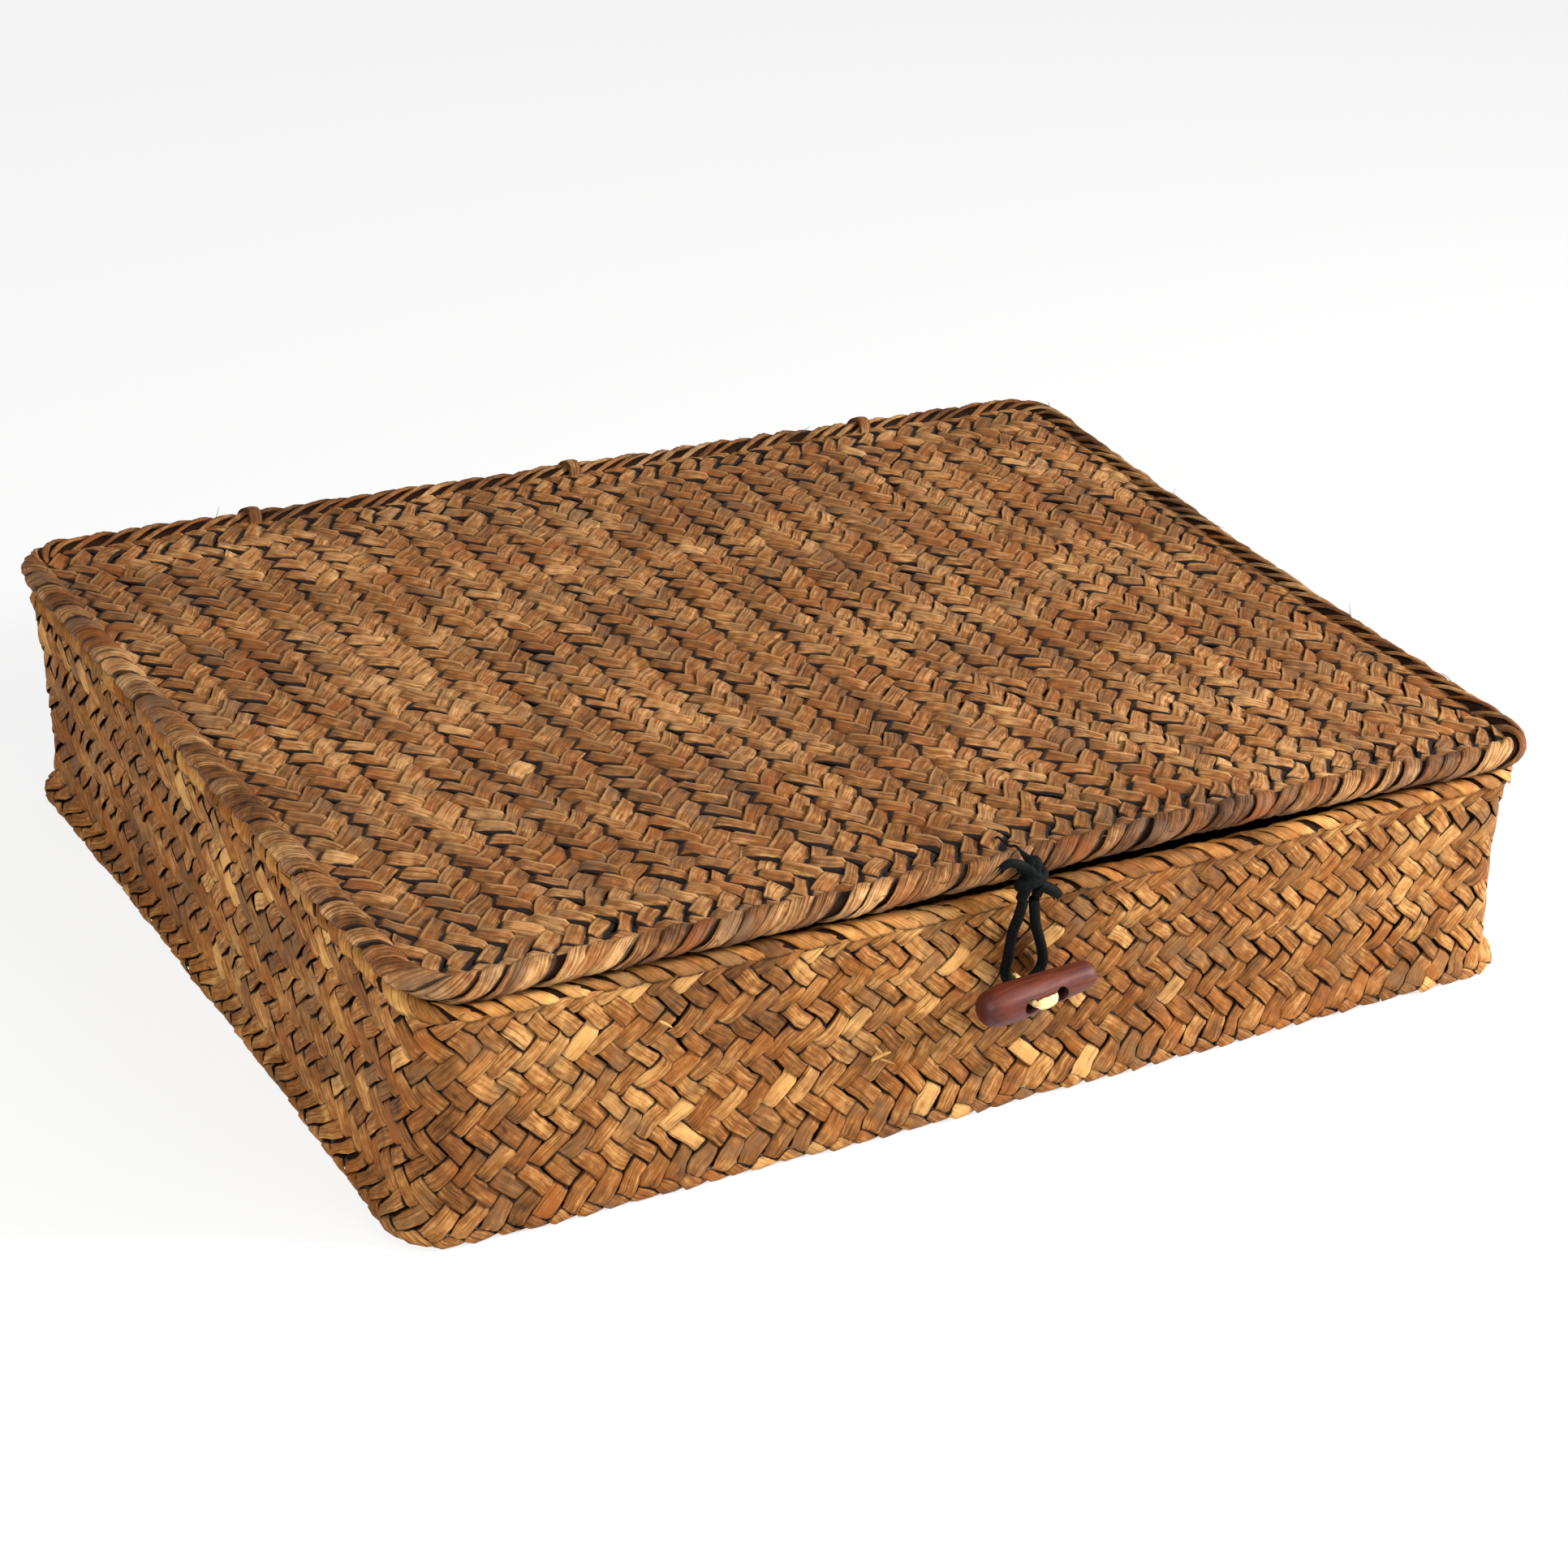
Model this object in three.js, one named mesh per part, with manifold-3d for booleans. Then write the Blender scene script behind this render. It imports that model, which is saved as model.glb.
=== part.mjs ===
// A flat rectangular box with a hinged lid, plaited from split sedge strips.
// Millimetres, +Z up, +X to the right along the front, the front faces -Y.
// The origin is the middle of the underside of the tray.

import * as THREE from "three";
import { mergeVertices } from "three/addons/utils/BufferGeometryUtils.js";
import Module from "manifold-3d";

const wasm = await Module();
wasm.setup();

// The whole box: width and depth over the lid's border, height to the top of the border
const boxWidth = 400;
const boxDepth = 300;
const boxHeight = 88;
const cornerRadius = 20;

// Gap between pieces that touch, and how far a cutting tool runs past what it cuts
const clearance = 0.3;
const overrun = 3;

// Plaited layers
const outerLayer = 1.6;
const liningLayer = 1.4;

// Seams of the lid's plait: its like-leaning steps stand in columns, and in rows along front and back
const stripWidth = 5.79;
const seamWidth = 5.4;
const seamDepth = 0.8;
const bandRows = 3;

// Frame wires inside the borders and between the layers at the corners
const hoopDiameter = 3;
const postDiameter = 1.8;

// Wrapped border rolls
const lidRollDiameter = 9;
const rimRollDiameter = 9;
const rimSetback = 2;
const lidPanelRise = 0.7;

// Tray walls: how far the foot and the waist stand in from the lid's outline
const footSetback = 1.5;
const waistSetback = 6;
const waistHeight = 22;

// What plaiting by hand leaves uneven. At the top the corners and the right side are drawn out of true,
// at the foot the left and front sides, and the rim sags and the lid springs up between them in front.
const frontRightDraw = 6.7;
const frontRightDroop = 1.7;
const backLeftSpread = 4.3;
const backRightSpread = 1.1;
const rightBow = 4.9;
const footLeftBow = 1.9;
const footFrontBow = 1.7;
const footReach = 30;
const topReach = 70;
const rimSag = 2.6;
const rimSagTop = 70;
const rimSagReach = 30;
const rimSagShares = [-0.85, -0.1, 0.3, 0.85];
const lidSpring = 1.5;
const lidSpringShares = [-0.2, 0.35, 0.65, 0.95];
const frontEdgeShares = [-0.9, -0.45];

// Hinge ties, flat strips laid once round both rear rolls
const tieWidth = 5;
const tieThickness = 1.2;
const tieSpacing = 118;

// Toggle, a turned peg that thins to the right
const toggleLength = 39.6;
const toggleDiameter = 12;
const toggleShift = -2.6;
const toggleHeight = 45;
const toggleTilt = 7;
const toggleHoleDiameter = 4.2;
const toggleHoleSpacing = 11;
const toggleOutlineShares = [
  [0, -1],
  [0.55, -0.97],
  [0.84, -0.87],
  [0.97, -0.7],
  [1, -0.45],
  [0.95, -0.15],
  [0.87, 0.2],
  [0.79, 0.55],
  [0.72, 0.82],
  [0.58, 0.94],
  [0.35, 0.99],
  [0, 1],
];

// Toggle tie: a bridge in front, a leg through each hole, a bar behind and a stem through the wall
const tieStemDiameter = 2.6;
const tieBridgeWidth = 3.3;
const tieBridgeThickness = 1.2;
const tieBarThickness = 1.4;
const tieKnotDiameter = 7;
const tieKnotThickness = 2.6;

// Elastic loop, its knot on the lid's front border and its two tails
const loopDiameter = 3.2;
const loopHalfWidth = 6.6;
const loopShift = 1.5;
const loopSettleShare = 0.55;
const knotShift = -8.5;
const knotWidth = 11;
const knotThickness = 6.4;
const knotRise = 2;
const knotHeight = 14;
const tailDiameter = 3;
const tailLength = 7;
const tailSeatShares = { left: 0.88, right: 0.98 };
const anchorDiameter = 2.4;
const anchorRun = 11;
const stopKnotDiameter = 5.4;
const knotOutlineShares = [
  [0, 0],
  [0.74, 0],
  [0.96, 0.2],
  [1, 0.5],
  [0.86, 0.8],
  [0.5, 0.97],
  [0, 1],
];

// Facets
const cornerSteps = 6;
const rollSteps = 12;
const wireSides = 8;
const roundSides = 20;
const wallSteps = 5;
const bendStep = 60;

// Heights and insets that follow from the sizes above
const lidRollRadius = lidRollDiameter / 2;
const rimRollRadius = rimRollDiameter / 2;
const hoopRadius = hoopDiameter / 2;
const lidRollHeight = boxHeight - lidRollRadius;
const rimRollHeight = lidRollHeight - lidRollRadius - clearance - rimRollRadius;
const rimRollInset = rimSetback + rimRollRadius;
const layerCavity = postDiameter + 2 * clearance;
const wallThickness = outerLayer + layerCavity + liningLayer;
const wallTopInset = rimRollInset - wallThickness / 2;
const wallTopHeight = rimRollHeight - hoopRadius - clearance;
const footRadius = hoopRadius + clearance + outerLayer;
const footInset = footSetback + footRadius;
const footTop = 2 * footRadius;
const lidRollAxisY = boxDepth / 2 - lidRollRadius;
const rimRollAxisY = boxDepth / 2 - rimRollInset;
const knotTop = boxHeight + knotRise;
const knotBottom = knotTop - knotHeight;

const strawWall = new THREE.MeshStandardMaterial({ color: "#b98443", roughness: 0.62 });
const strawLid = new THREE.MeshStandardMaterial({ color: "#9c6b3c", roughness: 0.62 });
const strawBorder = new THREE.MeshStandardMaterial({ color: "#a9713f", roughness: 0.6 });
const strawTie = new THREE.MeshStandardMaterial({ color: "#d8ae62", roughness: 0.6 });
const wire = new THREE.MeshStandardMaterial({ color: "#6f6c66", roughness: 0.4, metalness: 0.9 });
const blackCord = new THREE.MeshStandardMaterial({ color: "#16211f", roughness: 0.85 });
const toggleWood = new THREE.MeshStandardMaterial({ color: "#6d3228", roughness: 0.42 });

const box = new THREE.Group();

function add(name, geometry, material) {
  const mesh = new THREE.Mesh(geometry, material);
  mesh.name = name;
  box.add(mesh);
  return mesh;
}

function solidOf(geometry) {
  const bare = new THREE.BufferGeometry();
  bare.setAttribute("position", geometry.getAttribute("position"));
  bare.setIndex(geometry.getIndex());
  const merged = mergeVertices(bare);
  return new wasm.Manifold(
    new wasm.Mesh({
      numProp: 3,
      vertProperties: merged.attributes.position.array,
      triVerts: new Uint32Array(merged.index.array),
    }),
  );
}

function geometryOf(solid) {
  const made = solid.getMesh();
  const geometry = new THREE.BufferGeometry();
  geometry.setAttribute("position", new THREE.BufferAttribute(made.vertProperties, 3));
  geometry.setIndex(new THREE.BufferAttribute(made.triVerts, 1));
  return geometry;
}

function cut(geometry, tools) {
  const solid = tools.reduce((left, tool) => left.subtract(solidOf(tool)), solidOf(geometry));
  return geometryOf(solid);
}

function join(pieces) {
  const [first, ...others] = pieces.map(solidOf);
  return geometryOf(others.reduce((sum, piece) => sum.add(piece), first));
}

// The box's rounded outline drawn in by an inset, anticlockwise seen from above
function outline(inset, height) {
  const radius = cornerRadius - inset;
  const centreX = boxWidth / 2 - cornerRadius;
  const centreY = boxDepth / 2 - cornerRadius;
  const corners = [
    [centreX, centreY],
    [-centreX, centreY],
    [-centreX, -centreY],
    [centreX, -centreY],
  ];
  return corners.flatMap(([x, y], corner) =>
    Array.from({ length: cornerSteps + 1 }, (_, step) => {
      const angle = ((corner + step / cornerSteps) * Math.PI) / 2;
      return new THREE.Vector3(x + radius * Math.cos(angle), y + radius * Math.sin(angle), height);
    }),
  );
}

// Skins rows of points: a ring joins its last row to its first, a stack is capped below and above
function skin(rows, isRing) {
  const count = rows[0].length;
  const points = rows.flat();
  const faces = [];
  const joints = isRing ? rows.length : rows.length - 1;
  for (let row = 0; row < joints; row++) {
    for (let at = 0; at < count; at++) {
      const below = row * count;
      const over = ((row + 1) % rows.length) * count;
      const next = (at + 1) % count;
      faces.push(below + at, below + next, over + next);
      faces.push(below + at, over + next, over + at);
    }
  }
  if (!isRing) {
    const last = (rows.length - 1) * count;
    for (let at = 1; at < count - 1; at++) {
      faces.push(0, at + 1, at);
      faces.push(last, last + at, last + at + 1);
    }
  }
  const geometry = new THREE.BufferGeometry().setFromPoints(points);
  geometry.setIndex(faces);
  return geometry;
}

// The part of a hump that rises over the first two shares of a half side and falls over the last two
function hump(share, [riseFrom, riseTo, fallFrom, fallTo]) {
  const rise = THREE.MathUtils.smoothstep(share, riseFrom, riseTo);
  return rise * (1 - THREE.MathUtils.smoothstep(share, fallFrom, fallTo));
}

// 1 at the front edge, 0 from a quarter of the way back
function nearFront(y) {
  const [edge, inside] = frontEdgeShares;
  return 1 - THREE.MathUtils.smoothstep((2 * y) / boxDepth, edge, inside);
}

// Where a point of the true box lies once its strips have pulled it out of true
function outOfTrue([x, y, z]) {
  const across = (2 * x) / boxWidth;
  const along = (2 * y) / boxDepth;
  const right = (1 + across) / 2;
  const front = (1 - along) / 2;
  const high = THREE.MathUtils.smoothstep(z, 0, topReach);
  const low = (1 - THREE.MathUtils.clamp(z / footReach, 0, 1)) ** 2;
  const corners =
    backRightSpread * right * (1 - front) -
    backLeftSpread * (1 - right) * (1 - front) -
    frontRightDraw * right * front;
  const bow = -rightBow * right * (1 - along ** 2);
  const footBow = footLeftBow * (1 - right) * (1 - along ** 2);
  return [
    x + high * (corners + bow) + low * footBow,
    y - low * footFrontBow * front * (1 - across ** 2),
    z - high * frontRightDroop * right * front,
  ];
}

function trayShape([x, y, z]) {
  const height = THREE.MathUtils.smoothstep(z, rimSagTop - rimSagReach, rimSagTop);
  const sag = rimSag * hump((2 * x) / boxWidth, rimSagShares) * nearFront(y) * height;
  return outOfTrue([x, y, z - sag]);
}

function lidShape([x, y, z]) {
  const spring = lidSpring * hump((2 * x) / boxWidth, lidSpringShares) * nearFront(y);
  return outOfTrue([x, y, z + spring]);
}

// A solid with its long edges divided and its points moved out of true
function bent(geometry, shape) {
  const divided = solidOf(geometry).refineToLength(bendStep);
  return geometryOf(divided.warp((point) => point.splice(0, point.length, ...shape(point))));
}

// A stack of outlines given as [inset, height] pairs from the bottom up
function stack(levels) {
  return skin(levels.map(([inset, height]) => outline(inset, height)), false);
}

// A section of [outwards, up] points, anticlockwise, carried round the box at an inset and height
function ring(section, inset, height) {
  return skin(section.map(([out, up]) => outline(inset - out, height + up)), true);
}

function roundSection(radius, sides) {
  return Array.from({ length: sides }, (_, side) => {
    const angle = (side / sides) * 2 * Math.PI;
    return [radius * Math.cos(angle), radius * Math.sin(angle)];
  });
}

// A roll with a slot from one side to just past the hoop at its heart.
// The slot opens inwards, and a turn of a quarter makes it open downwards.
function rollSection(radius, slotWidth, slotRise, turn) {
  const upper = slotRise + slotWidth / 2;
  const lower = slotRise - slotWidth / 2;
  const end = hoopRadius + clearance;
  const from = -Math.PI - Math.asin(lower / radius);
  const to = Math.PI - Math.asin(upper / radius);
  const section = Array.from({ length: rollSteps + 1 }, (_, step) => {
    const angle = from + (step / rollSteps) * (to - from);
    return [radius * Math.cos(angle), radius * Math.sin(angle)];
  });
  section.push([end, upper], [end, lower]);
  return section.map(([out, up]) => [
    out * Math.cos(turn) - up * Math.sin(turn),
    out * Math.sin(turn) + up * Math.cos(turn),
  ]);
}

// How far the outer face of the wall stands in from the lid's outline at a height
function wallInset(height) {
  if (height < waistHeight) {
    const rise = (height - footTop) / (waistHeight - footTop);
    return THREE.MathUtils.lerp(footInset, waistSetback, Math.sin((rise * Math.PI) / 2));
  }
  const rise = (height - waistHeight) / (wallTopHeight - waistHeight);
  return THREE.MathUtils.lerp(waistSetback, wallTopInset, rise * rise);
}

// Heights of the wall's levels above the foot's ridge
const wallHeights = [
  (footTop + waistHeight) / 2,
  ...Array.from({ length: wallSteps + 1 }, (_, step) =>
    THREE.MathUtils.lerp(waistHeight, wallTopHeight, step / wallSteps),
  ),
];

// A quarter of the foot's ridge below the hoop and a quarter above it, as [inset, height] pairs
function footLevels(radius) {
  return Array.from({ length: 5 }, (_, step) => {
    const angle = ((step - 2) * Math.PI) / 4;
    return [footInset - radius * Math.cos(angle), footRadius + radius * Math.sin(angle)];
  });
}

// Levels of a wall face that stands a given depth behind the outer face
function wallLevels(depth) {
  return wallHeights.map((height) => [wallInset(height) + depth, height]);
}

function above(levels) {
  const [inset] = levels.at(-1);
  return [...levels, [inset, wallTopHeight + overrun]];
}

function block(sizeX, sizeY, sizeZ, x, y, z) {
  return new THREE.BoxGeometry(sizeX, sizeY, sizeZ).translate(x, y, z);
}

// A round rod along Y between two places
function rodAlongY(diameter, x, fromY, toY, z) {
  const radius = diameter / 2;
  return new THREE.CylinderGeometry(radius, radius, Math.abs(toY - fromY), roundSides).translate(
    x,
    (fromY + toY) / 2,
    z,
  );
}

// A round cord or wire along a smooth curve through points
function cord(points, diameter, sides, steps) {
  const section = new THREE.Shape(
    roundSection(diameter / 2, sides).map(([x, y]) => new THREE.Vector2(x, y)),
  );
  return new THREE.ExtrudeGeometry(section, {
    steps,
    extrudePath: new THREE.CatmullRomCurve3(points),
    bevelEnabled: false,
  });
}

// Hinge ties: places along the rear edge as it is bent, and the slots that they pass through
const alongRear = (place) => trayShape([place, lidRollAxisY, lidRollHeight])[0];
const tiePlaces = { left: alongRear(-tieSpacing), middle: alongRear(0), right: alongRear(tieSpacing) };
const tieInner = Math.max(lidRollRadius, rimRollRadius) + clearance;
const tieOuter = tieInner + tieThickness;
const tieLean = Math.atan2(lidRollAxisY - rimRollAxisY, lidRollHeight - rimRollHeight);

// The outline round two equal circles at the rolls, drawn in the plane across the rolls
function tieOutline(shape, radius) {
  shape.absarc(lidRollAxisY, lidRollHeight, radius, -tieLean, Math.PI - tieLean, false);
  shape.absarc(rimRollAxisY, rimRollHeight, radius, Math.PI - tieLean, 2 * Math.PI - tieLean, false);
  return shape;
}

function hingeTie(place) {
  const shape = tieOutline(new THREE.Shape(), tieOuter);
  shape.holes.push(tieOutline(new THREE.Path(), tieInner));
  const strip = new THREE.ExtrudeGeometry(shape, {
    depth: tieWidth,
    bevelEnabled: false,
    curveSegments: rollSteps,
  });
  strip.rotateX(Math.PI / 2).rotateZ(Math.PI / 2);
  return strip.translate(place - tieWidth / 2, 0, 0);
}

// Slots in the lid's layers, long enough for the tie at every angle of the lid
function lidTieSlots() {
  const slotWidth = tieWidth + 2 * clearance;
  const near = lidRollRadius - 3 * clearance;
  const far = tieOuter / Math.cos(tieLean) + 2 * clearance;
  return Object.values(tiePlaces).map((place) =>
    block(
      slotWidth,
      far - near,
      2 * lidRollDiameter,
      place,
      lidRollAxisY - (near + far) / 2,
      lidRollHeight,
    ),
  );
}

// Slots in the tray's rear wall under the rim roll
function wallTieSlots() {
  const slotWidth = tieWidth + 2 * clearance;
  const top = rimRollHeight - tieInner / 2;
  const bottom = rimRollHeight - tieOuter - clearance;
  return Object.values(tiePlaces).map((place) =>
    block(slotWidth, 2 * wallThickness, top - bottom, place, rimRollAxisY, (top + bottom) / 2),
  );
}

// Toggle: its places across the front wall, from the wall outwards
const frontDrop = (height) => height - trayShape([0, -boxDepth / 2, height])[2];
const wallFace = (height) =>
  wallInset(Math.min(height + frontDrop(height), wallTopHeight)) - boxDepth / 2;
const wallFaceY = wallFace(toggleHeight);
const againstWall = (height) => wallFace(height) - clearance - loopDiameter / 2;
const strandY = againstWall(toggleHeight);
const barBackY = strandY - loopDiameter / 2 - clearance;
const barFrontY = barBackY - tieBarThickness;
const toggleAxisY = barFrontY - clearance - toggleDiameter / 2;
const bridgeBackY = toggleAxisY - toggleDiameter / 2 - clearance;
const bridgeFrontY = bridgeBackY - tieBridgeThickness;
const liningFaceY = wallFaceY + wallThickness;
const tieHole = rodAlongY(
  tieStemDiameter + 2 * clearance,
  toggleShift,
  wallFaceY - overrun,
  liningFaceY + overrun,
  toggleHeight,
);

// Tray
function buildTray() {
  const outerBlank = stack([...footLevels(footRadius), ...wallLevels(0)]);
  const outerHollow = stack(above([...footLevels(footRadius - outerLayer), ...wallLevels(outerLayer)]));
  const outer = bent(cut(outerBlank, [outerHollow]), trayShape);
  add("tray_outer_weave", cut(outer, [tieHole, ...wallTieSlots()]), strawWall);

  const liningDepth = outerLayer + layerCavity;
  const liningBottom = outerLayer + clearance;
  const liningFoot = waistSetback + liningDepth;
  const liningBlank = stack([[liningFoot, liningBottom], ...wallLevels(liningDepth).slice(1)]);
  const floorHeight = liningBottom + liningLayer;
  const liningHollow = stack(
    above([[liningFoot + liningLayer, floorHeight], ...wallLevels(wallThickness).slice(1)]),
  );
  const lining = bent(cut(liningBlank, [liningHollow]), trayShape);
  add("tray_lining_weave", cut(lining, [tieHole, ...wallTieSlots()]), strawWall);

  const hoopSection = roundSection(hoopRadius, wireSides);
  add("rim_hoop", bent(ring(hoopSection, rimRollInset, rimRollHeight), trayShape), wire);
  add("foot_hoop", bent(ring(hoopSection, footInset, footRadius), trayShape), wire);
  const rimSection = rollSection(rimRollRadius, wallThickness + 2 * clearance, 0, Math.PI / 2);
  add("rim_border", bent(ring(rimSection, rimRollInset, rimRollHeight), trayShape), strawBorder);

  for (const [name, place] of Object.entries(tiePlaces)) {
    add("hinge_tie_" + name, hingeTie(place), strawBorder);
  }
}

// Corner posts follow the middle of the space between the two layers
function buildPosts() {
  const postDepth = outerLayer + layerCavity / 2;
  const bottom = outerLayer + clearance;
  const heights = [bottom, footTop, ...wallHeights.slice(1)];
  const corners = { back_right: [1, 1], back_left: [-1, 1], front_left: [-1, -1], front_right: [1, -1] };
  for (const [name, [sideX, sideY]] of Object.entries(corners)) {
    const points = heights.map((height) => {
      const inset = wallInset(Math.max(height, waistHeight)) + postDepth;
      const reach = (cornerRadius - inset) * Math.SQRT1_2;
      return new THREE.Vector3(
        sideX * (boxWidth / 2 - cornerRadius + reach),
        sideY * (boxDepth / 2 - cornerRadius + reach),
        height,
      );
    });
    const post = cord(points, postDiameter, wireSides, 2 * heights.length);
    add("corner_post_" + name, bent(post, trayShape), wire);
  }
}

// Lid
const lidLayers = outerLayer + clearance + liningLayer;
const panelHeight = lidRollHeight + lidPanelRise;
const panelTop = panelHeight + lidLayers / 2;
const panelBottom = panelHeight - lidLayers / 2;
const panelInset = lidRollRadius + hoopRadius + clearance;
const anchorHoleY = anchorRun - boxDepth / 2 + lidRollRadius;

// A groove of the lid's top, sunk to a line and turned along Y or, for a row, along X
function seam(length, x, y, isRow) {
  const section = new THREE.Shape([
    new THREE.Vector2(0, -seamDepth),
    new THREE.Vector2(seamWidth / 2, 0),
    new THREE.Vector2(seamWidth / 2, overrun),
    new THREE.Vector2(-seamWidth / 2, overrun),
    new THREE.Vector2(-seamWidth / 2, 0),
  ]);
  const groove = new THREE.ExtrudeGeometry(section, { depth: length, bevelEnabled: false });
  groove.translate(0, 0, -length / 2).rotateX(Math.PI / 2);
  return groove.rotateZ(isRow ? Math.PI / 2 : 0).translate(x, y, panelTop);
}

function lidSeams() {
  const spacing = stripWidth * Math.SQRT2;
  const rowsY = (row) => boxDepth / 2 - lidRollDiameter - row * spacing;
  const rows = Array.from({ length: bandRows + 1 }, (_, row) => row).flatMap((row) =>
    [-1, 1].map((side) => seam(boxWidth, 0, side * rowsY(row), true)),
  );
  const fieldLength = 2 * rowsY(bandRows) - seamWidth;
  const half = Math.floor((boxWidth / 2 - lidRollDiameter) / spacing);
  const columns = Array.from({ length: 2 * half + 1 }, (_, column) =>
    seam(fieldLength, (column - half) * spacing, 0, false),
  );
  return [...rows, ...columns];
}

function buildLid() {
  const anchorHole = new THREE.CylinderGeometry(
    anchorDiameter / 2 + clearance,
    anchorDiameter / 2 + clearance,
    2 * lidRollDiameter,
    roundSides,
  );
  anchorHole.rotateX(Math.PI / 2).translate(knotShift, anchorHoleY, lidRollHeight);
  const topLayer = stack([
    [panelInset, panelTop - outerLayer],
    [panelInset, panelTop],
  ]);
  const openings = [anchorHole, ...lidTieSlots()];
  add("lid_top_weave", cut(bent(cut(topLayer, lidSeams()), lidShape), openings), strawLid);
  const liningSheet = stack([
    [panelInset, panelBottom],
    [panelInset, panelBottom + liningLayer],
  ]);
  add("lid_lining_weave", cut(bent(liningSheet, lidShape), openings), strawLid);
  const hoop = ring(roundSection(hoopRadius, wireSides), lidRollRadius, panelHeight);
  add("lid_hoop", bent(hoop, lidShape), wire);
  const section = rollSection(lidRollRadius, lidLayers + 2 * clearance, lidPanelRise, 0);
  add("lid_border", bent(ring(section, lidRollRadius, lidRollHeight), lidShape), strawBorder);
}

// Closure: knot, tails and anchor on the lid's front border
const knotY = -boxDepth / 2 - 2 * clearance - knotThickness / 2;

function buildKnot() {
  const profile = knotOutlineShares.map(
    ([across, up]) => new THREE.Vector2((across * knotWidth) / 2, up * knotHeight),
  );
  const knot = new THREE.LatheGeometry(profile, roundSides);
  knot.rotateX(Math.PI / 2).scale(1, knotThickness / knotWidth, 1);
  add("loop_knot", knot.translate(knotShift, knotY, knotBottom), blackCord);

  const tail = (side, seatShare, rootHeight, tipHeight) => {
    const root = knotShift + side * ((seatShare * knotWidth) / 2 + 2 * clearance);
    return [
      new THREE.Vector3(root, knotY, rootHeight),
      new THREE.Vector3(root + (side * tailLength) / 3, knotY, rootHeight),
      new THREE.Vector3(root + side * tailLength, knotY, tipHeight),
    ];
  };
  const upper = knotTop - tailDiameter;
  const leftTail = tail(-1, tailSeatShares.left, upper, upper + tailDiameter / 2);
  add("loop_tail_left", cord(leftTail, tailDiameter, wireSides, 6), blackCord);
  const lower = knotBottom + tailDiameter;
  const rightTail = tail(1, tailSeatShares.right, lower, lower - tailDiameter / 2);
  add("loop_tail_right", cord(rightTail, tailDiameter, wireSides, 6), blackCord);

  // The anchor goes over the roll and down through the lid to the stop knot
  const rise = lidShape([knotShift, -lidRollAxisY, lidRollHeight])[2] - lidRollHeight;
  const reach = lidRollRadius + clearance + anchorDiameter / 2;
  const overRoll = [0.3, 0.4, 0.5, 0.62].map((share) => {
    const angle = Math.PI * (1 - share);
    return new THREE.Vector3(
      knotShift,
      -lidRollAxisY + reach * Math.cos(angle),
      lidRollHeight + rise + reach * Math.sin(angle),
    );
  });
  const anchor = [
    ...overRoll,
    new THREE.Vector3(knotShift, anchorHoleY - anchorDiameter, panelTop + rise + anchorDiameter),
    new THREE.Vector3(knotShift, anchorHoleY, panelTop + rise),
    new THREE.Vector3(knotShift, anchorHoleY, panelBottom + rise - clearance),
  ];
  add("loop_anchor", cord(anchor, anchorDiameter, wireSides, 18), blackCord);
  const stopKnot = new THREE.SphereGeometry(stopKnotDiameter / 2, roundSides / 2, roundSides / 2);
  stopKnot.rotateX(Math.PI / 2);
  const stopHeight = panelBottom + rise - 2 * clearance - stopKnotDiameter / 2;
  stopKnot.translate(knotShift, anchorHoleY, stopHeight);
  add("loop_stop_knot", stopKnot, blackCord);
}

// The loop leaves the knot, settles back against the wall, goes behind the toggle,
// round under the tie and back to the knot
const loopBendReach = loopHalfWidth - tieStemDiameter / 2 - clearance - loopDiameter / 2;
const loopBendHeight = toggleHeight + Math.sqrt(loopBendReach ** 2 - loopShift ** 2);
const loopMiddle = toggleShift + loopShift;

function buildLoop() {
  const start = knotBottom - 2 * clearance;
  const strand = (side, down) => {
    const away = THREE.MathUtils.smoothstep(down, 0, 1);
    const x = THREE.MathUtils.lerp(
      knotShift + side * (loopDiameter / 2 + clearance),
      loopMiddle + side * loopHalfWidth,
      away,
    );
    const height = THREE.MathUtils.lerp(start, loopBendHeight, down);
    const settled = THREE.MathUtils.smoothstep(down, 0, loopSettleShare);
    return new THREE.Vector3(x, THREE.MathUtils.lerp(knotY, againstWall(height), settled), height);
  };
  const downShares = [0, 0.06, 0.25, 0.45, 0.65, 0.85];
  const bend = Array.from({ length: 9 }, (_, step) => {
    const angle = Math.PI * (1 + step / 8);
    return new THREE.Vector3(
      loopMiddle + loopHalfWidth * Math.cos(angle),
      strandY,
      loopBendHeight + loopHalfWidth * Math.sin(angle),
    );
  });
  const points = [
    ...downShares.map((share) => strand(-1, share)),
    ...bend,
    ...[...downShares].reverse().map((share) => strand(1, share)),
  ];
  add("loop_cord", cord(points, loopDiameter, wireSides, 48), blackCord);
}

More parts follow.
